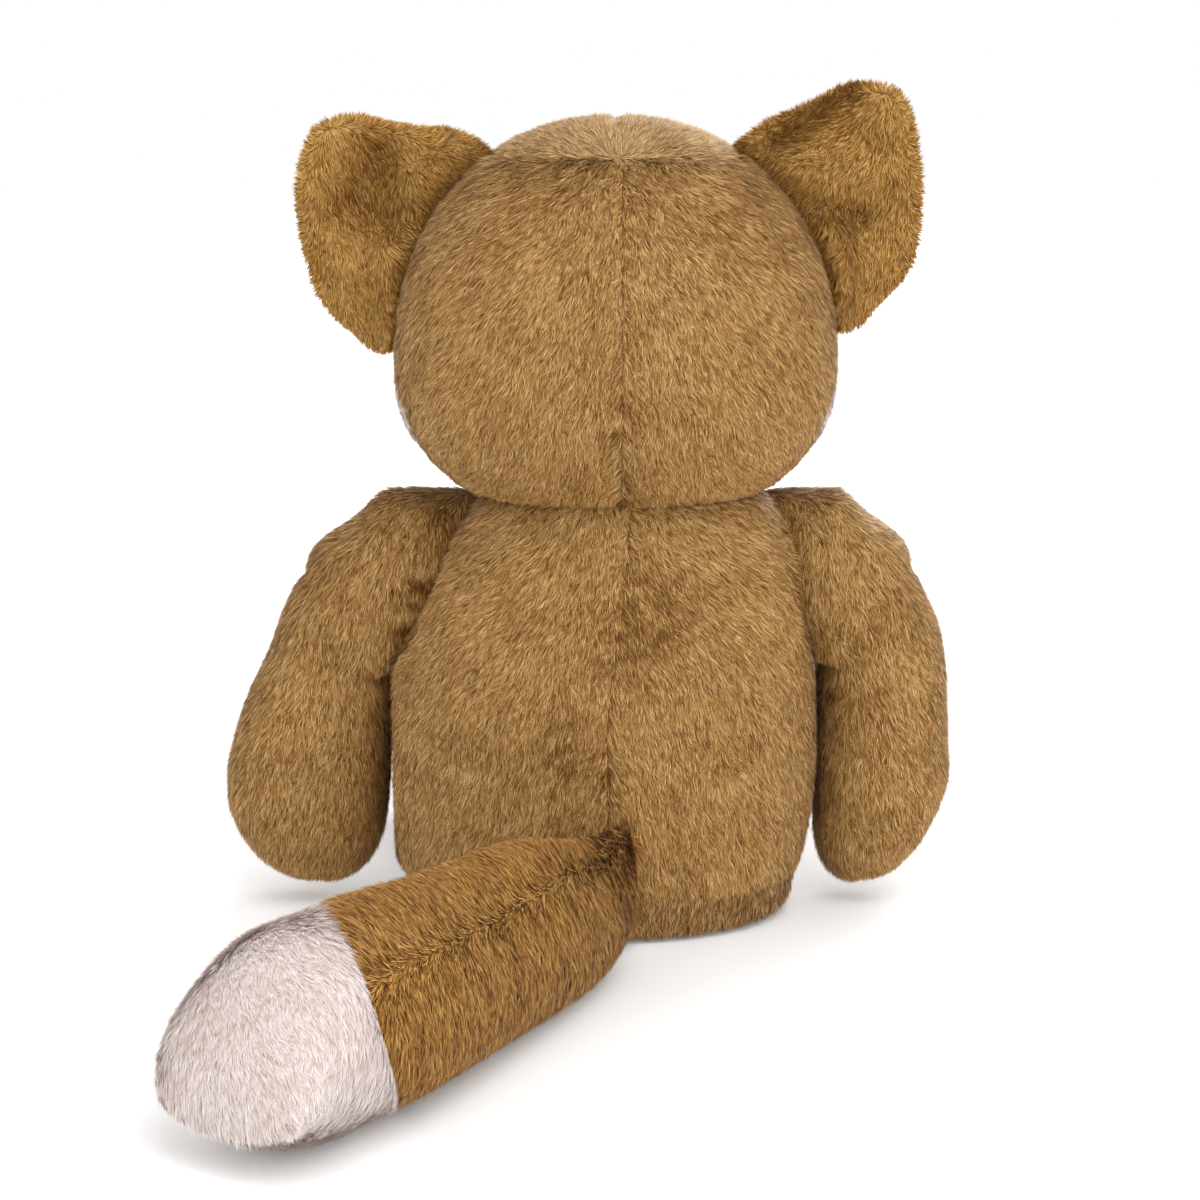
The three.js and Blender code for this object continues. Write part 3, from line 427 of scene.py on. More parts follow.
def pile_on(corners, faces, normals, seams, flow, seed, density=pile_density, length=pile_length,
            width=pile_width, lift=pile_lift, tint=plain_tint, mess=1.0, trim=full_length, shade=seam_shade,
            spread=pile_spread):
    """Strands of pile, each a narrow triangle from two root corners to a tip raised from the cloth by the
    lift. Their lay veers in soft waves and at random, they are shorter and darker beside a seam, and trim is
    the share of their length left at each spot."""
    draw = np.random.default_rng(seed)
    a, b, c = (corners[faces[:, i]] for i in range(3))
    areas = np.linalg.norm(np.cross(b - a, c - a), axis=1) / 2
    count = int(areas.sum() * density)
    face = draw.choice(len(faces), count, p=areas / areas.sum())
    s, t = np.sqrt(draw.random(count))[:, None], draw.random(count)[:, None]
    shares = np.concatenate([1 - s, s * (1 - t), s * t], 1)
    root = (corners[faces[face]] * shares[..., None]).sum(1)
    normal = unit((normals[faces[face]] * shares[..., None]).sum(1))
    from_seam = seam_distance(root, seams)
    lay = flow(root, normal)
    lay = unit(lay - normal * (lay * normal).sum(-1)[:, None])
    aside = np.cross(lay, normal)
    veer = mess * (waves_over(root, lay_waves, seed + 1) + draw.normal(0, lay_scatter, count))[:, None]
    lay, aside = lay * np.cos(veer) + aside * np.sin(veer), aside * np.cos(veer) - lay * np.sin(veer)
    raised = rise_wave_share * wavering(root, rise_wave, seed + 3)
    rise = np.clip(lift * (1 + raised + draw.normal(0, rise_scatter_share, count)), *rise_range)[:, None]
    short = risen(seam_short_share, from_seam, 0, seam_short_reach)
    reach = length * draw.uniform(*length_shares, count) * short * trim(root)
    broad = (width * draw.uniform(*width_shares, count) / 2)[:, None]
    roll = draw.normal(0, roll_scatter, count)[:, None]
    edge = aside * np.cos(roll) + normal * np.sin(roll)
    tip = root + reach[:, None] * (lay * np.cos(rise) + normal * np.sin(rise))
    points = np.stack([root - edge * broad, root + edge * broad, tip], 1)
    back = normal * np.cos(rise) - lay * np.sin(rise)
    rooted = normal + back_facing * back
    facing = [rooted - edge_facing * edge, rooted + edge_facing * edge, normal + tip_facing * back]
    strands = np.arange(3 * count).reshape(-1, 3)
    tone = 0.5 + tint(root) + waves_over(root, tone_waves, seed + 4) + draw.normal(0, spread, count)
    # Painted shade in the parting along each seam.
    tone = np.clip(tone - shade * np.exp(-((from_seam / seam_shade_width) ** 2)), *tone_range)
    marks = np.stack([
        np.stack([tone + tone_aside, np.full(count, root_mark)], -1),
        np.stack([tone - tone_aside, np.full(count, root_mark)], -1),
        np.stack([tone, np.full(count, tip_mark)], -1),
    ], 1)
    return points.reshape(-1, 3), strands, np.stack(facing, 1).reshape(-1, 3), marks.reshape(-1, 2)


def cloth(name, body, node, slot_name, finish, net, inside, flow, seed, seams=(), keep=None,
          height=pile_height, shape=None, groove=seam_groove, fill=stuffed_fill, **pile):
    """One sewn piece: a thin closed backing drawn in from the outline by the pile's height, and its pile.
    A shape adds its own rise along the normal, and a groove runs along each seam. At the neck seam the move
    is level, so that the head and the torso still meet there."""
    corners, faces = woven(net, inside, keep)
    normals = outward(corners, faces)
    sink = height(corners) if callable(height) else height
    from_seam = seam_distance(corners, seams)
    move = -sink - groove * np.exp(-((from_seam / seam_groove_width) ** 2))
    if shape is not None:
        move = move + shape(corners)
    drawn = normals * np.broadcast_to(move, len(corners))[:, None]
    drawn[:, 2] *= eased(np.abs(corners[:, 2] - torso_height), 0, neck_level_reach)
    corners = corners + drawn
    normals = outward(corners, faces)
    count = len(corners)
    directed = np.concatenate([faces[:, [0, 1]], faces[:, [1, 2]], faces[:, [2, 0]]])
    rim = directed[~np.isin(directed @ (count, 1), directed @ (1, count))]
    walls = np.concatenate([
        np.stack([rim[:, 1], rim[:, 0], rim[:, 0] + count], 1),
        np.stack([rim[:, 1], rim[:, 0] + count, rim[:, 1] + count], 1),
    ])
    skin = np.concatenate([faces, faces[:, ::-1] + count, walls])
    strands, kites, facing, marks = pile_on(corners, faces, normals, seams, flow, seed, **pile)
    everything = np.concatenate([corners, corners - normals * backing_thickness, strands])
    everything[:, 2] = np.maximum(everything[:, 2], floor_touch)
    piece = make_piece(
        name, everything, np.concatenate([skin, kites + 2 * count]),
        np.concatenate([normals, -normals, facing]),
        np.concatenate([np.tile(shaded_skin_marks, (len(skin), 1)), marks[kites.ravel()]]), finish)
    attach(piece, body)
    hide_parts(node)


def linear(red, green, blue):
    """A colour written as it looks on a screen, out of 255, as the light that it stands for."""
    seen = np.array([red, green, blue]) / 255
    return (*np.where(seen < 0.04045, seen / 12.92, ((seen + 0.055) / 1.055) ** 2.4), 1)


def ramp(tree, share, stops):
    """A colour read from a share: stops are its places and colours."""
    node = tree.nodes.new("ShaderNodeValToRGB")
    elements = node.color_ramp.elements
    elements[0].color, elements[1].color, elements[1].position = stops[0][1], stops[-1][1], stops[-1][0]
    for place, colour in stops[1:-1]:
        elements.new(place).color = colour
    tree.links.new(share, node.inputs["Fac"])
    return node.outputs["Color"]


def new_finish(name):
    """A new finish, its node tree and the shader that the tree ends in."""
    finish = bpy.data.materials.new(name)
    finish.use_nodes = True
    return finish, finish.node_tree, finish.node_tree.nodes["Principled BSDF"]


def pile_cloth(name, dark, middle, light, root_shade_share, sheen):
    """Dyed pile: its colour runs with the strand's tone, and painted shade darkens it from the tip down to
    the root.
    """
    finish, tree, shader = new_finish(name)
    mark = add(tree, "ShaderNodeUVMap", uv_map="OFBake")["UV"]
    split = add(tree, "ShaderNodeSeparateXYZ", {0: mark})
    dye = ramp(tree, split["X"], [(0, linear(*dark)), (0.5, linear(*middle)), (1, linear(*light))])
    # Painted shade among the strands: the colour is multiplied down towards the root.
    root_shade = (root_shade_share, root_shade_share, root_shade_share, 1)
    root_shade_ramp = ramp(tree, split["Y"], [(0, root_shade), (root_shade_end, (1, 1, 1, 1))])
    blend = add(tree, "ShaderNodeMix", {"Factor": 1, "A": dye, "B": root_shade_ramp}, data_type="RGBA",
                blend_type="MULTIPLY")
    join(tree, shader, {
        "Base Color": blend["Result"], "Roughness": 0.62, "Specular IOR Level": 0.15, "Sheen Weight": sheen,
        "Sheen Roughness": 0.45})
    return finish


fawn_pile = pile_cloth("fawn_pile", (100, 58, 15), (177, 130, 67), (232, 192, 130), 0.56, 0.08)

spine_top_shift = -0.0018
spine_seat_shift = -0.0043
wrinkle_width = 0.003
wrinkle_depth = 0.0016
wrinkles = (-0.0335, -0.0435)
wrinkle_top = 0.045
opened_pile = {"upper": (-0.017, 0.145, 0.020, 0.22), "lower": (0.017, 0.093, 0.012, 0.16),
               "spine": (-0.003, 0.081, 0.007, 0.18), "whirl": (-0.004, 0.128, 0.012, 0.12)}
patch_wave = 0.010
patch_wave_share = 0.6
patch_seed = 31
whirl_pull = 0.5
whirl_width_share = 1.7
torso_spread = (0.4, 1.3)
torso_spread_heights = (0.09, 0.17)
torso_rows = 66
torso_columns = 56


def spine_shift(height):
    """How far across the spine seam stands from the torso's middle: straight from the seat to the neck."""
    return spine_seat_shift + (spine_top_shift - spine_seat_shift) * (height / torso_height)


def down_and_aside(aside, spread, from_seam, backward, down):
    """A lay that runs down and spreads aside, and parts at a seam: away from it, as a bell."""
    away = parting * np.sign(from_seam) * np.exp(-((from_seam / parting_width) ** 2))
    return together(spread * aside + away, backward, down)


def torso_flow(spots, normals):
    """Pile on the torso runs down, and outward from the spine, where it parts. It opens at a small whirl."""
    aside = np.clip(spots[:, 0] / torso_half_width, -1, 1)
    spread = torso_spread[0] + torso_spread[1] * eased(spots[:, 2], *torso_spread_heights)
    place = spine_shift(spots[:, 2]) - neck_lean * eased(spots[:, 2], lean_start, torso_height)
    x, z, radius, _ = opened_pile["spine"]
    away = (spots - (x, torso_half_depth, z)) * (1, 0, 1)
    near = np.exp(-(np.linalg.norm(away, axis=1) / (whirl_width_share * radius)) ** 2)[:, None]
    return down_and_aside(aside, spread, spots[:, 0] - place, 0, -1) + whirl_pull * unit(away) * near


def pile_patches_and_shading(spots, patches, behind=0.0):
    """Darker round each patch of positive depth on the back, and lighter round one of negative depth: a bell
    round each, broken up by soft waves. Some patches are where the pile opens, and others paint shade in a
    crease and a highlight on a shoulder's top. A patch is its place across and up, its radius and its depth."""
    tone = np.zeros(len(spots))
    for x, z, radius, depth in patches:
        near = ((spots[:, 0] - x) ** 2 + (spots[:, 2] - z) ** 2) / radius ** 2
        tone -= depth * np.exp(-near) * (1 + patch_wave_share * wavering(spots, patch_wave, patch_seed))
    return np.where(spots[:, 1] > behind, tone, 0)


def torso_tint(spots):
    """The tone of the torso's patches, where the pile opens."""
    return pile_patches_and_shading(spots, opened_pile.values())


def torso_wrinkles(spots):
    """Short upright folds above the seat seam: a narrow dip at each, fading out upwards."""
    dip = sum(np.exp(-(((spots[:, 0] - x) / wrinkle_width) ** 2)) for x in wrinkles)
    return -wrinkle_depth * dip * (1 - eased(spots[:, 2], seat_seam, wrinkle_top)) * (spots[:, 1] > 0)


heights = np.linspace(seat_seam, torso_height, torso_rows)[:, None]
for side, arm in arms.items():
    flank = 0 if side == "left" else np.pi
    seam_turn = np.pi / 2 - spine_shift(heights) / torso_half_width
    net = torso_spots(flank + (seam_turn - flank) * np.linspace(0, 1, torso_columns), heights)
    cloth(f"torso_back_{side}", "torso", f"back_{side}_panel", "fawn_pile", fawn_pile, net,
          (0, 0, torso_widest), torso_flow, seed=100 + arm["sign"], seams=(net[0], net[-1], net[:, -1]),
          tint=torso_tint, height=torso_sink, shape=torso_wrinkles)

# Torso front: one broad panel of cream long-pile cloth over the belly. It is sewn to the back panels at
# the flanks, to the head at the neck and to the seat below.
belly_cream = pile_cloth("cream_pile", (208, 189, 181), (242, 228, 223), (252, 244, 241), 0.92, 0.06)
belly_trimmed = 0.016
belly_trim_share = 0.3
belly_spread = 0.25


def belly_flow(spots, normals):
    """Pile on the belly runs down, and hardly outward, so that it stays in front of the flanks."""
    return together(belly_spread * spots[:, 0] / torso_half_width, 0, -1)


def belly_trim(spots):
    """Shorter towards the flanks, where the belly turns behind the arms."""
    return risen(belly_trim_share, -spots[:, 1], 0, belly_trimmed)


net = torso_spots(np.linspace(np.pi, 2 * np.pi, 2 * torso_columns), heights)
cloth("belly", "torso", "belly_panel", "cream_pile", belly_cream, net, (0, 0, torso_widest), belly_flow,
      seed=110, seams=(net[0], net[-1]), density=2.5e6, width=0.0009, height=torso_sink, trim=belly_trim)

# Seat: a flat bottom panel with a rounded rim, of the same cloth as the back, coloured darker as painted
# shade low by the floor. Its edge is sewn to the back and the belly, and its pile is pressed flat underneath.
seat_rim = 0.012
seat_pressed_height = 0.001
seat_down_lay = -0.8
rim_rows = 12
flat_rows = 14
# A darker copy of the back's pile: painted shade on the seat's rim.
seat_shaded_cloth = pile_cloth("seat_pile", (84, 52, 18), (170, 124, 72), (212, 170, 112), 0.58, 0.08)


def seat_spots(turn, drop, share):
    """The seam's ring down to the rim, a quarter round tucked under, and the flat shrunk to its middle."""
    ring = torso_spots(turn, seat_seam - np.minimum(drop, seat_seam - seat_rim))
    under = np.clip((drop - (seat_seam - seat_rim)) / (seat_rim * np.pi / 2), 0, 1) * np.pi / 2
    tuck = 1 - seat_rim * (1 - np.cos(under)) / torso_half_depth
    ring[..., :2] *= (tuck * share)[..., None]
    ring[..., 2] -= seat_rim * np.sin(under)
    return ring


def seat_sink(spots):
    """The backing's depth under the outline: the pile's height at the rim, and hardly any underneath."""
    return free_depth(eased(spots[:, 2], seat_pressed_height, seat_rim))


def seat_flow(spots, normals):
    """Pile runs down the rim and inward from it underneath."""
    return together(-spots[:, 0] / torso_half_depth, -spots[:, 1] / torso_half_depth, seat_down_lay)


full_drop = seat_seam - seat_rim + seat_rim * np.pi / 2
drops = np.concatenate([np.linspace(0, full_drop, rim_rows), np.full(flat_rows, full_drop)])[:, None]
shares = np.concatenate([np.ones(rim_rows), np.linspace(1, 0, flat_rows + 1)[1:]])[:, None]
net = seat_spots(np.linspace(0, 2 * np.pi, 2 * torso_columns), drops, shares)
cloth("seat", "torso", "seat_panel", "dark_pile", seat_shaded_cloth, net, (0, 0, torso_widest), seat_flow, seed=120,
      seams=(net[0],), density=1.5e6, length=0.0052, height=seat_sink)

# Head back: two panels of the same long-pile cloth that meet along the centre of the head, under the
# level seam behind the crown. They are sewn to the torso all round the neck.
head_height = 0.166
head_half_width = 0.099
head_half_depth = 0.088
head_widest = 0.055
head_lower_reach = 0.066
head_lean = 0.007
head_forward = 0.006
neck_power = 2.3
crown_drop = 0.015
brow_height = 0.062
head_rows = 62
head_columns = 52
centre_top_shift = -0.0045
centre_middle_shift = -0.0024
cheek_turn = 0.30
cheek_turn_rise = 0.026
cheek_neck_rise = 0.03
cheek_neck_share = 0.35
head_spread = (1.0, 1.2)
head_back_lay = 0.2
head_down_lay = -0.9
opened_head_pile = [(0.010, 0.334, 0.018, 0.16), (-0.0085, 0.232, 0.007, 0.22), (0.050, 0.300, 0.020, 0.07),
                    (-0.060, 0.315, 0.018, 0.08)]
neck_z = torso_height
crown = np.array([-head_lean, -head_forward, neck_z + head_height])


def head_turn(height):
    """The turn at which the head's outline passes a height above the neck: the arc sine of its share to a
    power."""
    above = height > head_widest
    power = np.where(above, section_power, neck_power)
    reach = np.where(above, head_height - head_widest, head_lower_reach)
    share = np.minimum(1, np.abs(height - head_widest) / reach)
    return np.sign(height - head_widest) * np.arcsin(share ** (power / 2))


def head_spots(around, turn):
    """Head: rounded rings whose size and height follow a rounded outline, fuller above than below."""
    power = np.where(turn > 0, section_power, neck_power)
    reach = np.where(turn > 0, head_height - head_widest, head_lower_reach)
    size = np.abs(np.cos(turn)) ** (2 / power)
    rise = np.sign(turn) * reach * np.abs(np.sin(turn)) ** (2 / power)
    across, depth = rounded(around)
    return together(crown[0] + head_half_width * size * across, crown[1] + head_half_depth * size * depth,
                    neck_z + head_widest + rise)


def flank_turn(side, turn):
    """The turn at which the cheek and back meet: the flank, and further back below the brow."""
    height = head_spots(0, turn)[..., 2] - neck_z
    low = risen(cheek_neck_share, height, 0, cheek_neck_rise)
    behind = cheek_turn * eased(brow_height - height, 0, cheek_turn_rise) * low
    return behind if side == "left" else np.pi - behind


def head_flow(spots, normals):
    """Pile on the head runs down, and outward from the centre seam, where it parts."""
    aside = np.clip((spots[:, 0] - crown[0]) / head_half_width, -1, 1)
    spread = head_spread[0] + head_spread[1] * eased(spots[:, 2], neck_z + head_widest, crown[2] - crown_drop)
    from_centre = spots[:, 0] - crown[0] - centre_middle_shift
    return down_and_aside(aside, spread, from_centre, head_back_lay * np.sign(spots[:, 1]), head_down_lay)


def head_tint(spots):
    """The tone of the head's patches, where the pile opens."""
    return pile_patches_and_shading(spots, opened_head_pile)


head_middle = crown - (0, 0, head_height - head_widest)
centre_shifts = [(0, centre_top_shift), (0.5, centre_middle_shift), (1, centre_top_shift)]
turns = np.linspace(head_turn(0.0), head_turn(head_height - crown_drop), head_rows)[:, None]
share_up = np.linspace(0, 1, head_rows)[:, None]
centre_turn = np.pi / 2 - reading(centre_shifts, share_up, 1) / head_half_width
for side, arm in arms.items():
    flank = flank_turn(side, turns)
    around = flank + (centre_turn - flank) * np.linspace(0, 1, head_columns)
    net = head_spots(around, turns)
    cloth(f"head_back_{side}_panel", "head", f"head_back_{side}", "fawn_pile", fawn_pile, net, head_middle,
          head_flow, seed=200 + arm["sign"], seams=(net[0], net[-1], net[:, -1], net[:, 0]), tint=head_tint)

# Forehead: two panels of pile in front of the crown seam, which come down to the brow over the eyes. Their
# pile is the back's colour painted paler: painted light where the crown faces the lamps above. They are sewn
# to each other, to the backs of the head and to the cheeks.
# A paler copy of the back's pile, with less painted shade at the roots: painted light on the crown.
light_pile = pile_cloth("light_pile", (122, 84, 40), (181, 141, 89), (224, 191, 140), 0.68, 0.08)
brow_rows = 34
cap_rows = 22
crown_widening = (1.4, 1, 1)
crown_forward = (0, -0.5, -0.25)
crown_seam_middle = head_spots(np.pi / 2, head_turn(head_height - crown_drop))
brow_turns = np.linspace(head_turn(brow_height), head_turn(head_height - crown_drop), brow_rows)
cap_turns = np.linspace(head_turn(head_height - crown_drop), np.pi / 2, cap_rows)[1:]
turns = np.concatenate([brow_turns, cap_turns])[:, None]


def crown_flow(spots, normals):
    """Pile on the crown and brow spreads from the middle of the crown seam, forward and down the face."""
    return unit(spots - crown_seam_middle) * crown_widening + crown_forward


for side, arm in arms.items():
    front, back = (-np.pi / 2, np.pi / 2) if side == "left" else (1.5 * np.pi, np.pi / 2)
    net = head_spots(np.linspace(front, back, 2 * head_columns - 1), turns)
    keep = np.ones((net.shape[0] - 1, net.shape[1] - 1), bool)
    keep[:brow_rows - 1, head_columns - 1:] = False
    seams = (net[0, :head_columns], net[brow_rows - 1, head_columns - 1:], net[:, 0], net[brow_rows - 1:, -1],
             net[:brow_rows, head_columns - 1])
    cloth(f"forehead_{side}_panel", "head", f"forehead_{side}", "light_pile", light_pile, net, head_middle,
          crown_flow, seed=210 + arm["sign"], seams=seams, keep=keep, density=3.3e6, shade=0.12)

# Cheeks: a panel of cream pile at each side, from the brow down to the neck, seen as a sliver beside the
# head. Each is sewn to the forehead above, to the back panel behind and to the other cheek in front.
cheek_rows = 36
cheek_trimmed = 0.030
cheek_trim_share = 0.4
cheek_lay = (1.1, 0.5, -0.6)
turns = np.linspace(head_turn(0.0), head_turn(brow_height), cheek_rows)[:, None]


def cheek_trim(spots):
    """Shorter towards the neck, where the pile is pressed between the head and the shoulders."""
    return risen(cheek_trim_share, spots[:, 2], neck_z, neck_z + cheek_trimmed)


def cheek_flow(spots, normals):
    """Pile on the cheeks runs outward and down from the muzzle."""
    aside = np.clip((spots[:, 0] - crown[0]) / head_half_width, -1, 1)
    return together(aside, 1, 1) * cheek_lay


for side, arm in arms.items():
    front = -np.pi / 2 if side == "left" else 1.5 * np.pi
    net = head_spots(front + (flank_turn(side, turns) - front) * np.linspace(0, 1, head_columns), turns)
    cloth(f"cheek_{side}_panel", "head", f"cheek_{side}", "cream_pile", belly_cream, net, head_middle,
          cheek_flow, seed=220 + arm["sign"], seams=(net[0], net[-1], net[:, -1]), density=3.8e6,
          trim=cheek_trim)

# Muzzle: a stuffed snout of cream cloth, cut as one rounded cover and sewn on the face between the
# cheeks. Its pile is clipped shorter than elsewhere.
muzzle_half_width = 0.037
muzzle_half_height = 0.027
muzzle_length = 0.058
muzzle_buried = 0.026
muzzle_height = 0.040
muzzle_first_share = 0.2
muzzle_lay = (0.3, 1, -0.3)
muzzle_rows = 44
muzzle_columns = 60
muzzle_start = crown[1] - head_half_depth + muzzle_buried


def muzzle_spots(turn, share):
    """Snout: rounded rings along the way forward, whose size swells from the tip back to the face."""
    across, up = rounded(turn)
    size = swelling(share, cap_power)
    return together(
        crown[0] + muzzle_half_width * size * across, muzzle_start - (muzzle_buried + muzzle_length) * share,
        neck_z + muzzle_height + muzzle_half_height * size * up)


def muzzle_flow(spots, normals):
    """Pile on the snout runs back from the nose."""
    return together((spots[:, 0] - crown[0]) / muzzle_half_width, 1, 1) * muzzle_lay


bend = np.linspace(0, np.pi / 2, muzzle_rows)[:, None]
shares = muzzle_first_share + (1 - muzzle_first_share) * np.sin(bend) ** (2 / cap_power)
net = muzzle_spots(np.linspace(0, 2 * np.pi, muzzle_columns), shares)
cloth("muzzle_cover", "head", "muzzle", "cream_pile", belly_cream, net,
      (crown[0], muzzle_start - muzzle_buried, neck_z + muzzle_height), muzzle_flow, seed=230,
      density=3.6e6, length=0.0046, height=0.0014, lift=math.radians(18), width=0.0007)

# Nose: a button of dark brown flocked plastic with a shallow nostril at each side. Its stem is pushed
# through the snout's tip.
nose_half_width = 0.012
nose_half_height = 0.0085
nose_half_depth = 0.007
nose_rise = 0.007
nose_set_back_share = 0.25
nose_rows = 52
nose_columns = 72
nose_narrowing = 0.28
nostril = {"across": 0.0048, "up": -0.0014, "width": 0.0019, "depth": 0.0017}


def plain_piece(name, body, node, finish, net, inside):
    """A closed smooth piece with no pile, from a net of points. It stands for its node, if it has one."""
    corners, faces = woven(net, inside)
    marks = np.tile([(0.2, 0.2), (0.8, 0.2), (0.8, 0.8)], (len(faces), 1))
    piece = make_piece(name, corners, faces, None, marks, finish)
    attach(piece, body)
    if node:
        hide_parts(node)
    return piece


def grained(name, scale, low, high, bump, roughness, kind="ShaderNodeTexNoise"):
    """A finish whose colour and relief both follow one fine texture in the object's own coordinates."""
    finish, tree, shader = new_finish(name)
    place = add(tree, "ShaderNodeTexCoord")["Object"]
    sized = add(tree, "ShaderNodeMapping", {"Vector": place, "Scale": np.full(3, scale).tolist()})["Vector"]
    grain = add(tree, kind, {"Vector": sized})["Fac"]
    join(tree, shader, {
        "Base Color": ramp(tree, grain, [(0, linear(*low)), (1, linear(*high))]),
        "Normal": add(tree, "ShaderNodeBump", {"Distance": bump, "Height": grain})["Normal"],
        "Roughness": roughness})
    return finish


nose_flock = grained("nose_flock", 280, (26, 20, 18), (66, 51, 45), 0.0004, 0.8)
nose_middle = np.array([
    crown[0],
    muzzle_start - muzzle_buried - muzzle_length + nose_half_depth * nose_set_back_share,
    neck_z + muzzle_height + nose_rise,
])
rise = np.linspace(-np.pi / 2, np.pi / 2, nose_rows)[:, None]
turn = np.linspace(0, 2 * np.pi, nose_columns)
narrow = 1 - nose_narrowing * np.clip(-np.sin(rise), 0, 1) ** 2
nose_net = nose_middle + together(
    nose_half_width * narrow * np.cos(rise) * np.cos(turn), nose_half_depth * np.cos(rise) * np.sin(turn),
    nose_half_height * np.sin(rise))
aside, over = np.abs(nose_net[..., 0] - nose_middle[0]), nose_net[..., 2] - nose_middle[2]
near = ((aside - nostril["across"]) ** 2 + (over - nostril["up"]) ** 2) / nostril["width"] ** 2
nose_net[..., 1] += nostril["depth"] * np.exp(-near) * (nose_net[..., 1] < nose_middle[1])
plain_piece("nose_button", "head", "nose", nose_flock, nose_net, nose_middle)

# Mouth: one line of twisted dark thread sewn down from the nose and out to two soft curves. It lies on
# the snout's short pile and is drawn a little into it.
thread_radius = 0.0008
thread_apart = 0.0007
lip_top = -0.002
lip_drop = 0.0115
smile_reach = 0.0125
smile_sag = 0.0030
smile_lift = 0.0022
smile_shares = (1.2, 0.8, 2)
thread_steps = 40
thread_columns = 10


def snout_front(across, up):
    """How far forward the snout's outline stands, where its ring has the size that passes a place."""
    wide, tall = np.abs(across / muzzle_half_width), np.abs(up / muzzle_half_height)
    size = (wide ** section_power + tall ** section_power) ** (1 / section_power)
    return muzzle_start - (muzzle_buried + muzzle_length) * swelling(size, cap_power)


def sewn_line(path, radius):
    """A round thread carried along a path that faces forward: a ring about each point, closed at the ends."""
    along = unit(np.gradient(path, axis=0))
    first = unit(np.cross(along, (0, -1, 0)))[:, None]
    second = np.cross(first, along[:, None])
    turn = np.linspace(0, 2 * np.pi, thread_columns)[None, :, None]
    rings = path[:, None] + radius * (first * np.cos(turn) + second * np.sin(turn))
    ends = path[[0, -1], None] + 0 * rings[:1]
    return np.concatenate([ends[:1], rings, ends[1:]])


mouth_thread = grained("mouth_thread", 700, (34, 24, 19), (70, 53, 44), 0.0002, 0.6,
                       "ShaderNodeTexWave")
for side, arm in arms.items():
    step = np.linspace(0, 1, thread_steps)
    fall = np.clip(2 * step, 0, 1)
    out = np.clip(2 * step - 1, 0, 1)
    reaching, sagging, lifting = (out ** power for power in smile_shares)
    across = arm["sign"] * (thread_apart + smile_reach * reaching)
    up = lip_top - lip_drop * fall - smile_sag * np.sin(np.pi * sagging) + smile_lift * lifting
    path = together(crown[0] + across, snout_front(across, up), neck_z + muzzle_height + up)
    net = sewn_line(path, thread_radius)
    plain_piece(f"mouth_line_{side}", "head", None, mouth_thread, net, path.mean(0))

# Eyes: domes of glossy black plastic, each moulded on a stem that passes through the forehead's cloth and
# takes a washer behind it.
eye_radius = 0.009
eye_dome = 0.0055
eye_seat = 0.0005
eye_height = 0.074
eye_angle = 0.42
stem_radius = 0.0024
stem_reach = 0.008
eye_columns = 40
eye_rows = 18
eye_rim_drop = 0.001
eye_rim_share = 0.96
nudge = 0.003

eye_plastic = grained("eye_plastic", 60, (14, 10, 8), (26, 20, 17), 0, 0.12)
join(eye_plastic.node_tree, eye_plastic.node_tree.nodes["Principled BSDF"], {
    "Coat Weight": 0.2, "Coat Roughness": 0.03})
bend = np.linspace(0, np.pi / 2, eye_rows)
profile = np.concatenate([
    [(0, -stem_reach), (stem_radius, -stem_reach), (stem_radius, eye_seat - eye_rim_drop),
     (eye_radius * eye_rim_share, eye_seat - eye_rim_drop)],
    np.stack([eye_radius * np.cos(bend), eye_seat + eye_dome * np.sin(bend)], -1),
])
for side, arm in arms.items():
    angle = -np.pi / 2 + arm["sign"] * eye_angle
    level = head_turn(eye_height)
    spot, beside, over = head_spots(angle + nudge * np.array([0, 1, 0]), level + nudge * np.array([0, 0, 1]))
    axis = unit(np.cross(beside - spot, over - spot))
    first = unit(np.cross(axis, (0, 0, 1)))
    second = np.cross(axis, first)
    turn = np.linspace(0, 2 * np.pi, eye_columns)[None, :, None]
    ring = first * np.cos(turn) + second * np.sin(turn)
    net = spot + ring * profile[:, 0, None, None] + axis * profile[:, 1, None, None]
    plain_piece(f"eye_dome_{side}", "head", f"eye_{side}", eye_plastic, net, spot)

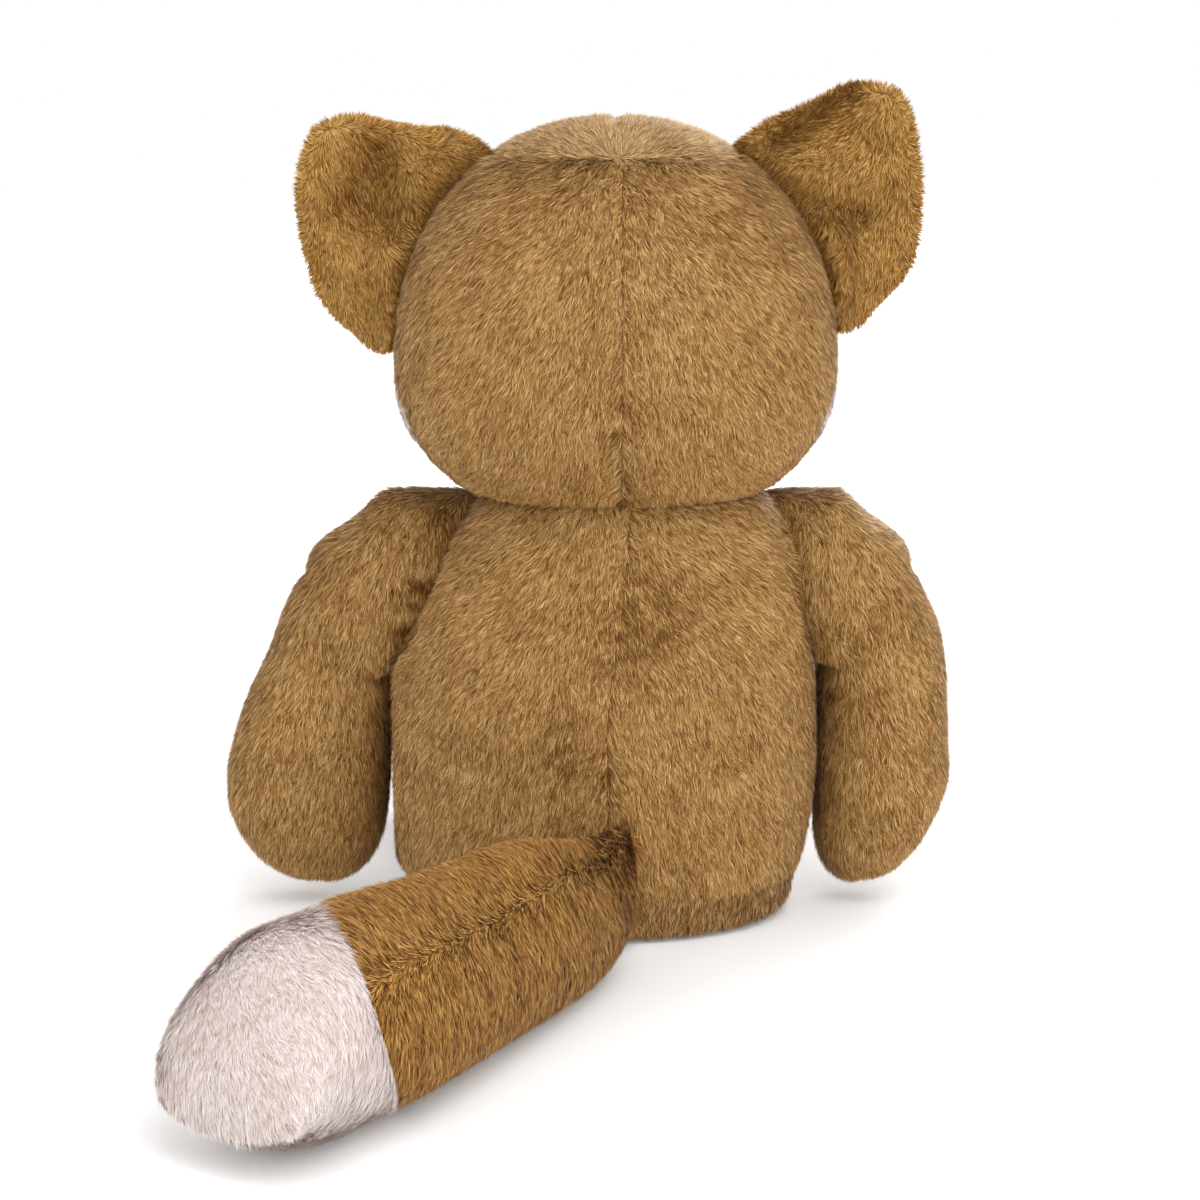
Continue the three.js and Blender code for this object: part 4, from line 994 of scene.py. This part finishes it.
# Ears: a long-pile back and a cream lining sewn edge to edge, set in the seam behind the forehead. The
# left ear is cupped with a soft fold at its root, the right one is bent over below its tip. A dent is a
# line from one place to another, across and up, its width and its rise.
ear_dye = pile_cloth("ear_pile", (96, 55, 10), (174, 124, 56), (228, 185, 110), 0.60, 0.07)
ear_layers = {1: ("back", "fawn_pile", ear_dye, 5.6e6, 0.0062),
              -1: ("lining", "cream_pile", belly_cream, 4.0e6, 0.0048)}
ear_thickness = 0.0042
ear_curl = 0.010
ear_skin_depth = 0.0009
ear_tip_share = 0.22
ear_edge_shares = [(0, 0.57, 0.97), (0.15, 0.74, 1), (0.32, 0.92, 0.93), (0.55, 1, 0.62), (0.8, 0.91, 0.19),
                   (1, 0.77, 0)]
ears = {
    "left": {"sign": 1, "root_drop": 0.014, "root_span": 0.091, "reach": 0.088, "tip_rise": 0.0,
             "edge_span": 0.094, "brim": 0.0060, "hem": 0.0055, "fuller": 0.0010, "tone": -0.02,
             "dents": [
                 (0.100, 0.338, 0.106, 0.318, 0.012, -0.0090),
                 (0.060, 0.322, 0.092, 0.308, 0.007, -0.0060),
                 (0.118, 0.350, 0.130, 0.322, 0.009, 0.0045),
                 (0.066, 0.345, 0.096, 0.352, 0.010, 0.0050),
                 (0.070, 0.333, 0.084, 0.328, 0.008, 0.0045),
                 (0.098, 0.294, 0.110, 0.288, 0.010, 0.0040)]},
    "right": {"sign": -1, "root_drop": 0.012, "root_span": 0.085, "reach": 0.084, "tip_rise": 0.015,
              "edge_span": 0.096, "brim": 0.0035, "hem": 0.0050, "fuller": 0.0066, "tone": -0.08,
              "dents": [
                  (-0.112, 0.364, -0.080, 0.345, 0.0055, -0.0095),
                  (-0.084, 0.322, -0.116, 0.312, 0.006, -0.0060),
                  (-0.088, 0.334, -0.124, 0.330, 0.009, 0.0055),
                  (-0.120, 0.368, -0.126, 0.352, 0.009, 0.0055),
                  (-0.086, 0.358, -0.100, 0.368, 0.008, 0.0050),
                  (-0.096, 0.300, -0.108, 0.292, 0.010, 0.0040)]},
}
ear_rows = 46
ear_columns = 52
ear_span_shares = (0.02, 0.98)
ear_settled_shares = (0.05, 0.3)
ear_rim_inset = 0.003
ear_tuck = 0.0035
ear_gather = 0.007
ear_gather_end = 0.42
ear_gather_shade = 0.34
ear_gather_reach = 0.0038
ear_brim_reach = 0.16
ear_brim_power = 0.6
ear_fuller_shares = (0.48, 0.82)
ear_down_lay = (-0.2, 0, -0.40)
ear_rim_lay = 1.4
ear_rim_share = 0.85
ear_rim_band = (0.0005, 0.007)
ear_relief_shading = 32
ear_relief_range = (-0.012, 0.002)
ear_trim_share = 0.55
ear_trim_reach = 0.012
ear_pile_width = 0.0006
ear_lift = math.radians(16)
ear_mess = 1.1
ear_fill = 0.2


def head_edge(height):
    """How far out the head's outline stands at a height over the floor."""
    return head_spots(np.zeros_like(height), head_turn(height - neck_z))[..., 0] - crown[0]


def ear_root(ear, share, out):
    """A place along the head's outline, from the ear's upper end to its lower one, out along its normal."""
    height = crown[2] - ear["root_drop"] - ear["root_span"] * share
    narrowing = head_edge(height - ear_thickness) - head_edge(height + ear_thickness)
    normal = unit(np.stack([2 * ear_thickness + 0 * narrowing, narrowing], -1))
    return np.stack([head_edge(height), height], -1) + normal * out


def ear_edge(ear, share):
    """The ear's outline, read from its shares of reach and span."""
    start = ear_root(ear, np.zeros(1), ear_thickness)[0, 0]
    fuller = ear["fuller"] * eased(share, *ear_fuller_shares)
    out = start + ear["reach"] * reading(ear_edge_shares, share, 1) + fuller
    up = crown[2] + ear["tip_rise"] - ear["edge_span"] * (1 - reading(ear_edge_shares, share, 2))
    return np.stack([out, up], -1)


def ear_depth(ear, x, z):
    """Folds and dents: for each, a rise that fades as a bell with the distance from a short line."""
    depth = np.zeros_like(x)
    for x0, z0, x1, z1, width, rise in ear["dents"]:
        over, up = x1 - x0, z1 - z0
        along = np.clip(((x - x0) * over + (z - z0) * up) / (over ** 2 + up ** 2), 0, 1)
        gap = np.hypot(x - x0 - along * over, z - z0 - along * up)
        depth += rise * np.exp(-((gap / width) ** 2))
    return depth


def ear_net(ear, layer):
    """One layer of an ear: between its root and its outline, curled forward at the rims, with its folds."""
    share = np.linspace(*ear_span_shares, ear_columns)[None]
    station = np.linspace(0, 1, ear_rows)[:, None]
    root, edge = ear_root(ear, share[0], -ear_tuck), ear_edge(ear, share[0])
    drawn = edge + (root - edge) * (ear_rim_inset / np.linalg.norm(root - edge, axis=-1))[:, None]
    flat = root + (drawn - root) * station[..., None]
    x, z = crown[0] + ear["sign"] * flat[..., 0], flat[..., 1]
    curl = -ear_curl * station * (2 * share - 1) ** 2
    gathered = ear_gather * np.sin(np.pi * np.minimum(1, station / ear_gather_end)) ** 2
    brim = np.sin(np.pi * station ** ear_brim_power) ** 2 * np.exp(-((share / ear_brim_reach) ** 2))
    hem = np.sin(np.pi * station) ** 2 * np.exp(-(((1 - share) / ear_brim_reach) ** 2))
    z = z + ear["brim"] * brim - ear["hem"] * hem
    dented = ear_depth(ear, x, z) * eased(station, *ear_settled_shares)
    return together(x, crown[1] + curl + gathered + dented + layer * ear_skin_depth, z)


for side, ear in ears.items():
    for layer, (part, slot_name, finish, density, length) in ear_layers.items():
        net = ear_net(ear, layer)
        rim = np.concatenate([net[:, 0], net[-1], net[::-1, -1]])
        centre = net.reshape(-1, 3).mean(0)
        tip_out, tip_up = ear_edge(ear, ear_tip_share)
        tip = (crown[0] + ear["sign"] * tip_out, 0, tip_up)

        def ear_flow(spots, normals):
            """Pile spreads from the tip down towards the head, and turns outward over the rim."""
            near = ear_rim_share * (1 - eased(seam_distance(spots, (rim,)), *ear_rim_band))[:, None]
            spreading = unit((spots - tip) * (1, 0, 1)) + np.multiply(ear_down_lay, (ear["sign"], 1, 1))
            return spreading * (1 - near) + ear_rim_lay * unit((spots - centre) * (1, 0, 1)) * near

        def ear_tint(spots):
            """Each ear's own tone, with painted shade in the dents and in the crease where the root is
            gathered into its seam, and a little painted light on the ridges.
            """
            root = seam_distance(spots, (net[0],))
            # Painted shade in the crease along the root seam.
            crease = ear_gather_shade * np.exp(-((root / ear_gather_reach) ** 2))
            # Painted shade in the dents, and painted light on the ridges.
            dent = np.clip(ear_depth(ear, spots[:, 0], spots[:, 2]), *ear_relief_range)
            return ear["tone"] + ear_relief_shading * dent - crease

        def ear_trim(spots):
            """Shorter towards the rim."""
            return risen(ear_trim_share, seam_distance(spots, (rim,)), 0, ear_trim_reach)

        cloth(f"ear_{part}_{side}_layer", f"ear_{side}", f"ear_{part}_{side}", slot_name, finish, net,
              centre - (0, layer, 0), ear_flow, seed=300 + 10 * layer + ear["sign"], seams=(net[0],),
              height=0, groove=0, fill=ear_fill, density=density, length=length, width=ear_pile_width,
              lift=ear_lift, tint=ear_tint, mess=ear_mess, trim=ear_trim)

# Arms: each one tapered sleeve of the back's long-pile cloth, stuffed and closed round the paw. It is sewn
# to the flank by a small seam at the shoulder, so the arm hangs and swings.
arm_ball_rows = 22
arm_long_rows = 46
arm_paw_rows = 26
arm_columns = 84
arm_spread = 0.25
bulge_width = 0.014
slope_from = 0.010
slope_to = 0.031
slope_share = 0.36
flank_touch = 0.0006
neck_reach_from = 0.010
neck_reach_to = 0.026
reached_share = 0.50
reached_front_shares = (-0.2, 0.6)
pressed_side_shares = (-0.9, -0.2)
pressed_drops = (0.045, 0.110)
# Patches on the arms, each a place across and up, a radius and a depth. The first two are painted shade in
# the crease where the left arm meets the flank, and the one of negative depth is a painted highlight on top
# of the right shoulder.
arm_patches_and_shading = [(0.0810, 0.151, 0.0075, 0.50), (0.0880, 0.129, 0.0080, 0.42), (0.070, 0.178, 0.012, 0.16),
                   (0.115, 0.150, 0.012, 0.10), (-0.100, 0.100, 0.009, 0.22), (-0.112, 0.128, 0.010, 0.14),
                   (-0.116, 0.176, 0.018, -0.18), (-0.075, 0.182, 0.008, 0.20)]


def arm_spots(arm, turn, drop):
    """Sleeve: level rings, round at the shoulder and rounded below, hung from the shoulder's middle. The
    inner half reaches in to the flank and the neck, less in front than behind, and the outer half bulges
    beside the shoulder as a bell."""
    middle, half, depth = arm_section(arm, drop)
    power = 2 + (section_power - 2) * eased(drop, 0, arm["ball"])
    across, along = rounded(turn, power)
    let_go = eased(np.abs(drop), reached_share * arm["ball"], arm["ball"] + flank_facet)
    let_go = let_go * eased(-along, *reached_front_shares)
    reach = (arm["shoulder"] - flank_limit(arm, np.abs(drop))) * (1 - let_go)
    limit = arm["shoulder"] - reach
    limit = limit + (arm["neck_reach"] - limit) * eased(-drop, neck_reach_from, neck_reach_to)
    inner = half + np.maximum(0, middle - limit - flank_touch - half) * (1 - eased(drop, *pressed_drops))
    outer = half * (1 - slope_share * eased(-drop, slope_from, slope_to))
    outer = outer + arm["bulge"] * np.exp(-((drop / bulge_width) ** 2))
    return together(arm["sign"] * (middle + np.where(across < 0, inner, outer) * across),
                    -shoulder_set + depth * along, shoulder_height(arm) - drop)


def arm_flow(spots, normals):
    """Pile on the arms runs down, a little outward."""
    return together(arm_spread * np.sign(spots[:, 0]), 0, -1)


def arm_tone_and_shading(spots):
    """The tone of the arms' patches: painted shade in the crease where the left arm meets the flank, a
    painted highlight on top of the right shoulder, and patches where the pile opens.
    """
    return pile_patches_and_shading(spots, arm_patches_and_shading, -shoulder_set)


for side, arm in arms.items():
    length = shoulder_height(arm) - paw_lift
    ball_drops = -arm["ball"] * np.sin(np.linspace(np.pi / 2, 0, arm_ball_rows))
    long_drops = np.linspace(0, arm_round_share * length, arm_long_rows)[1:]
    paw_shares = np.sin(np.linspace(0, np.pi / 2, arm_paw_rows)) ** (2 / cap_power)
    paw_drops = length * (arm_round_share + (1 - arm_round_share) * paw_shares)[1:]
    drops = np.concatenate([ball_drops, long_drops, paw_drops])[:, None]
    net = arm_spots(arm, np.linspace(0, 2 * np.pi, arm_columns), drops)

    def arm_sink(spots):
        """The backing's depth under the outline: the pile's height, less on the side against the torso."""
        middle, half, _ = arm_section(arm, shoulder_height(arm) - spots[:, 2])
        side = (spots[:, 0] * arm["sign"] - middle) / np.maximum(half, pressed_pile)
        return free_depth(eased(side, *pressed_side_shares))

    cloth(f"arm_{side}_sleeve", f"arm_{side}", f"arm_sleeve_{side}", "fawn_pile", fawn_pile, net,
          (arm["sign"] * (arm["shoulder"] + arm["spread"] / 2), -shoulder_set, shoulder_height(arm) / 2),
          arm_flow, seed=400 + arm["sign"], density=3.8e6, height=arm_sink, tint=arm_tone_and_shading)

# Legs: stuffed sleeves of the back's cloth with a cream sole sewn in each end. They are pinched flat where
# the seat seam holds them, and lie forward on the floor.
hip_height = 0.021
hip_spacing = 0.044
hip_pinch = 0.003
hip_half_width = 0.025
hip_place = 0.07105
leg_splay = 0.24
leg_length = 0.108
leg_half_width = 0.031
leg_half_height = 0.030
flattening = 0.0005
foot_rise = 0.003
foot_dome = 0.006
foot_edge = 0.0033
leg_shares = [(0, 0.1), (0.12, 0.5), (0.3, 0.8), (0.55, 0.88), (0.8, 1), (1, 0.97)]
leg_settled_share = 0.5
leg_gathering = 1.3
leg_freed_reach = 0.02
leg_spread = 1.6
leg_lay = (0.3, -0.35, -0.7)
leg_rows = 52
leg_columns = 72
sole_rows = 22
foot_dome_power = 3


def leg_spots(sign, turn, share, size=1.0, further=0.0):
    """Leg: upright rings along the way it lies, settling from the seat seam down to the floor."""
    half_height = np.maximum(leg_half_height * reading(leg_shares, share, 1), hip_pinch)
    half_width = hip_half_width + (leg_half_width - hip_half_width) * share
    lying = half_height - flattening + foot_rise * share ** 2
    middle = hip_height + (lying - hip_height) * eased(share, 0, leg_settled_share)
    across, up = rounded(turn)
    reach = leg_length * share + further
    forward = np.array([sign * math.sin(leg_splay), -math.cos(leg_splay)])
    aside = np.array([math.cos(leg_splay), sign * math.sin(leg_splay)])
    wide = half_width * size * across
    return together(sign * hip_spacing + forward[0] * reach + aside[0] * wide,
                    -hip_place + forward[1] * reach + aside[1] * wide,
                    np.maximum(middle + half_height * size * up, 0))


def leg_sink(spots):
    """The backing's depth under the outline: little at the pinched end, the pile's height further on."""
    return free_depth(eased(-spots[:, 1], hip_place, hip_place + leg_freed_reach))


def leg_flow(spots, normals):
    """Pile on the legs parts over the middle and runs down the sides, a little forward to the foot."""
    side = np.sign(spots[:, 0])
    middle = side * (hip_spacing + math.tan(leg_splay) * (-spots[:, 1] - hip_place))
    aside = (spots[:, 0] - middle) / leg_half_width
    return together(leg_spread * aside + leg_lay[0] * side, *leg_lay[1:])


def sole_flow(spots, normals):
    """Pile on the soles runs down."""
    return together(0 * spots[:, 0], 0, -1)


for side, arm in arms.items():
    sign = arm["sign"]
    shares = np.linspace(0, 1, leg_rows)[:, None] ** leg_gathering
    turns = np.linspace(0, 2 * np.pi, leg_columns)
    net = leg_spots(sign, turns, shares)
    middle = net[leg_rows // 2].mean(0)
    start = net[0].mean(0) + (net[:1] - net[0].mean(0)) * (1, 1, 0)
    cloth(f"leg_{side}_sleeve", f"leg_{side}", f"leg_sleeve_{side}", "fawn_pile", fawn_pile,
          np.concatenate([start, net]), middle, leg_flow, seed=500 + sign, seams=(net[-1],), density=2.6e6,
          height=leg_sink)
    size = np.linspace(1, 0, sole_rows)[:, None]
    net = leg_spots(sign, turns, 1, size, foot_edge + foot_dome * (1 - size ** foot_dome_power))
    cloth(f"sole_{side}", f"leg_{side}", f"foot_pad_{side}", "cream_pile", belly_cream, net, middle,
          sole_flow, seed=510 + sign, seams=(net[0],), density=3.2e6, length=0.005, height=0.0015)

# Tail: a sleeve of darker brown long pile, pinched flat where the back seam holds it, and a broad cream
# tip sewn on at a slanting ring seam. It lies on the floor, swung to the fox's left. A row of its shares
# is a place along the tail, its width and its height.
tail_root_shift = 0.013
tail_root_height = 0.034
tail_root_place = 0.08178
tail_pinch = 0.003
tail_root_tuck = 0.007
tail_length = 0.304
tail_half_width = 0.039
tail_half_height = 0.0395
tail_bearing = 0.41
tail_bend = 0.27
tail_seam_shares = {"middle": 0.718, "across": -0.107, "up": 0.052}
tail_wide_cap = {"from": 0.876, "power": 3.56}
tail_tall_cap = {"from": 0.836, "power": 1.65}
tail_settled_share = 0.32
tail_droop_share = 0.53
tail_swell_from = 0.6
tail_wider = 0.0975
tail_taller = 0.042
tail_shift_from = 0.4
tail_shift = -0.0097
tail_shares = [(0, 0.077, 0.57), (0.07, 0.3, 0.66), (0.16, 0.5, 0.77), (0.32, 0.71, 0.93), (0.5, 0.87, 0.95),
               (0.7, 1, 1), (1, 0.96, 0.96)]
tail_rows = 96
tip_rows = 44
tail_columns = 84
tail_pile = pile_cloth("dark_pile", (88, 45, 4), (176, 119, 46), (228, 178, 98), 0.54, 0.07)


def tail_spots(turn, share):
    """Tail: upright rings along an arc on the floor, from the pinched root out to the tip. The tip is blunt
    seen from above and pointed seen from the side, fuller than the rest and shifted to the camera's side."""
    wide_cap, tall_cap = (
        swelling(np.maximum(0, share - cap["from"]) / (1 - cap["from"]), cap["power"])
        for cap in (tail_wide_cap, tail_tall_cap))
    swell = eased(share, tail_swell_from, 1)
    half_height = tail_half_height * reading(tail_shares, share, 2) * (1 + tail_taller * swell)
    half_width = np.maximum(tail_half_width * reading(tail_shares, share, 1), tail_pinch)
    half_width = half_width * (1 + tail_wider * swell)
    lying = half_height * (1 + (tall_cap - 1) * tail_droop_share) - flattening
    middle = tail_root_height + (lying - tail_root_height) * eased(share, 0, tail_settled_share)
    bearing = tail_bearing + tail_bend * share
    radius = tail_length / tail_bend
    across, up = rounded(turn)
    wide = half_width * wide_cap * across + tail_shift * eased(share, tail_shift_from, 1)
    return together(
        -tail_root_shift + radius * (math.cos(tail_bearing) - np.cos(bearing)) + np.cos(bearing) * wide,
        tail_root_place + radius * (np.sin(bearing) - math.sin(tail_bearing)) - np.sin(bearing) * wide,
        np.maximum(middle + half_height * tall_cap * up, 0))


def tail_seam(turn):
    """The ring seam's share at a turn: a slanting cut, furthest out at the top of the camera's side."""
    across, up = rounded(turn)
    return tail_seam_shares["middle"] + tail_seam_shares["across"] * across + tail_seam_shares["up"] * up


tail_root = np.array([-tail_root_shift, tail_root_place, 1.5 * tail_root_height])
tail_radiating = (0.01, 0.08)
tail_running = np.array([0.34, 0.26, -0.90])
tail_crest_running = np.array([0.95, -0.25, -0.20])
tail_crest = (0.25, 0.85)
tail_freed_reach = 0.03
tip_whirl = np.array([0.131, 0.270, 0.060])
tip_whirl_radius = 0.020
tip_lift = math.radians(10)
tip_droop = (0, 0, -0.15)
tip_closing = np.array([0.1, 0.5, -1.0])


def tail_flow(spots, normals):
    """Pile radiates from the root's upper corner, then runs down the sides, and across the tail on top."""
    away = spots - tail_root
    crest = eased(normals[:, 2], *tail_crest)[:, None]
    running = tail_running * (1 - crest) + tail_crest_running * crest
    mix = eased(np.linalg.norm(away, axis=1), *tail_radiating)[:, None]
    return unit(away) * (1 - mix) + running * mix


def tail_sink(spots):
    """The backing's depth under the outline: little at the pinched root, the pile's height further on."""
    return free_depth(eased(spots[:, 1], tail_root_place, tail_root_place + tail_freed_reach))


def tip_flow(spots, normals):
    """Pile on the tip radiates from a whirl on its broad face, droops, and closes over the whirl's middle."""
    away = spots - tip_whirl
    near = np.exp(-((np.linalg.norm(away, axis=1) / tip_whirl_radius) ** 2))[:, None]
    return (unit(away) + tip_droop) * (1 - near) + tip_closing * near


turns = np.linspace(0, 2 * np.pi, tail_columns)
shares = np.linspace(0, 1, tail_rows)[:, None] * tail_seam(turns)
net = tail_spots(turns, shares)
sewn_in = net[:1] - tail_root_tuck * np.array([math.sin(tail_bearing), math.cos(tail_bearing), 0])
start = sewn_in[0].mean(0) + (sewn_in - sewn_in[0].mean(0)) * (0, 0, 1)
cloth("tail_brown_sleeve", "tail", "tail_sleeve", "dark_pile", tail_pile,
      np.concatenate([start, sewn_in, net]), net[tail_rows // 2].mean(0), tail_flow, seed=600,
      seams=(net[-1],), height=tail_sink, density=4.0e6, width=0.0007, spread=0.42)
bend = np.linspace(0, np.pi / 2, tip_rows)[:, None]
shares = tail_seam(turns) + (1 - tail_seam(turns)) * np.sin(bend)
net = tail_spots(turns, shares)
cloth("tail_cream_tip", "tail", "tail_tip", "cream_pile", belly_cream, net, net[tip_rows // 2].mean(0),
      tip_flow, seed=610, seams=(net[0],), density=4.3e6, lift=tip_lift, spread=0.28)

# Stuffing: white polyester fibre blown into the head, the torso, the limbs and the tail, and held only by
# the cloth round it. In the arms and the tail it follows the shoulders and the fuller tip.
stuffed_nodes = ("torso_filling", "head_filling", "leg_filling_left", "leg_filling_right")
fibre_stretch = (90, 240, 700)
tail_stuffed_shares = (0.12, 0.965)
tail_stuffed_width = 0.80
arm_stuffed_shares = (-0.76, 0.965)
arm_stuffed_width = 0.74
stuffed_rows = 60


def refinish(node, finish):
    """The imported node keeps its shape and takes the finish."""
    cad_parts[node].data.materials.clear()
    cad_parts[node].data.materials.append(finish)


fibre = grained("stuffing", fibre_stretch, (222, 220, 214), (252, 251, 248), 0.0015, 0.9)
for node in stuffed_nodes:
    refinish(node, fibre)


def stuff(name, body, node, rings, width):
    """Stuffing in a limb: the limb's own rings, each drawn in about its middle to a share of its width."""
    middles = rings.mean(1, keepdims=True)
    drawn = middles + (rings - middles) * width
    net = np.concatenate([middles[:1] + 0 * rings[:1], drawn, middles[-1:] + 0 * rings[:1]])
    piece = plain_piece(name, body, node, fibre, net, middles[stuffed_rows // 2, 0])


for side, arm in arms.items():
    first, last = arm_stuffed_shares
    drops = np.linspace(first * arm["ball"], last * (shoulder_height(arm) - paw_lift), stuffed_rows)[:, None]
    rings = arm_spots(arm, turns, drops)
    stuff(f"arm_stuffing_{side}", f"arm_{side}", f"arm_filling_{side}", rings, arm_stuffed_width)
rings = tail_spots(turns, np.linspace(*tail_stuffed_shares, stuffed_rows)[:, None])
stuff("tail_stuffing", "tail", "tail_filling", rings, tail_stuffed_width)

# Pellet pouch: a bag of plain woven cotton full of plastic pellets, loose in the seat's stuffing, which
# keeps the toy upright.
refinish("pellet_pouch", grained("pellet_cloth", 1500, (206, 200, 188), (238, 234, 226), 0.0003, 0.8,
                                 "ShaderNodeTexWave"))

# Eye washers: discs of white plastic, each pressed on an eye's stem behind the cloth, where its teeth
# lock the eye.
washer_plastic = grained("washer_plastic", 400, (226, 226, 224), (240, 240, 238), 0.0001, 0.35)
for side in arms:
    refinish(f"eye_washer_{side}", washer_plastic)
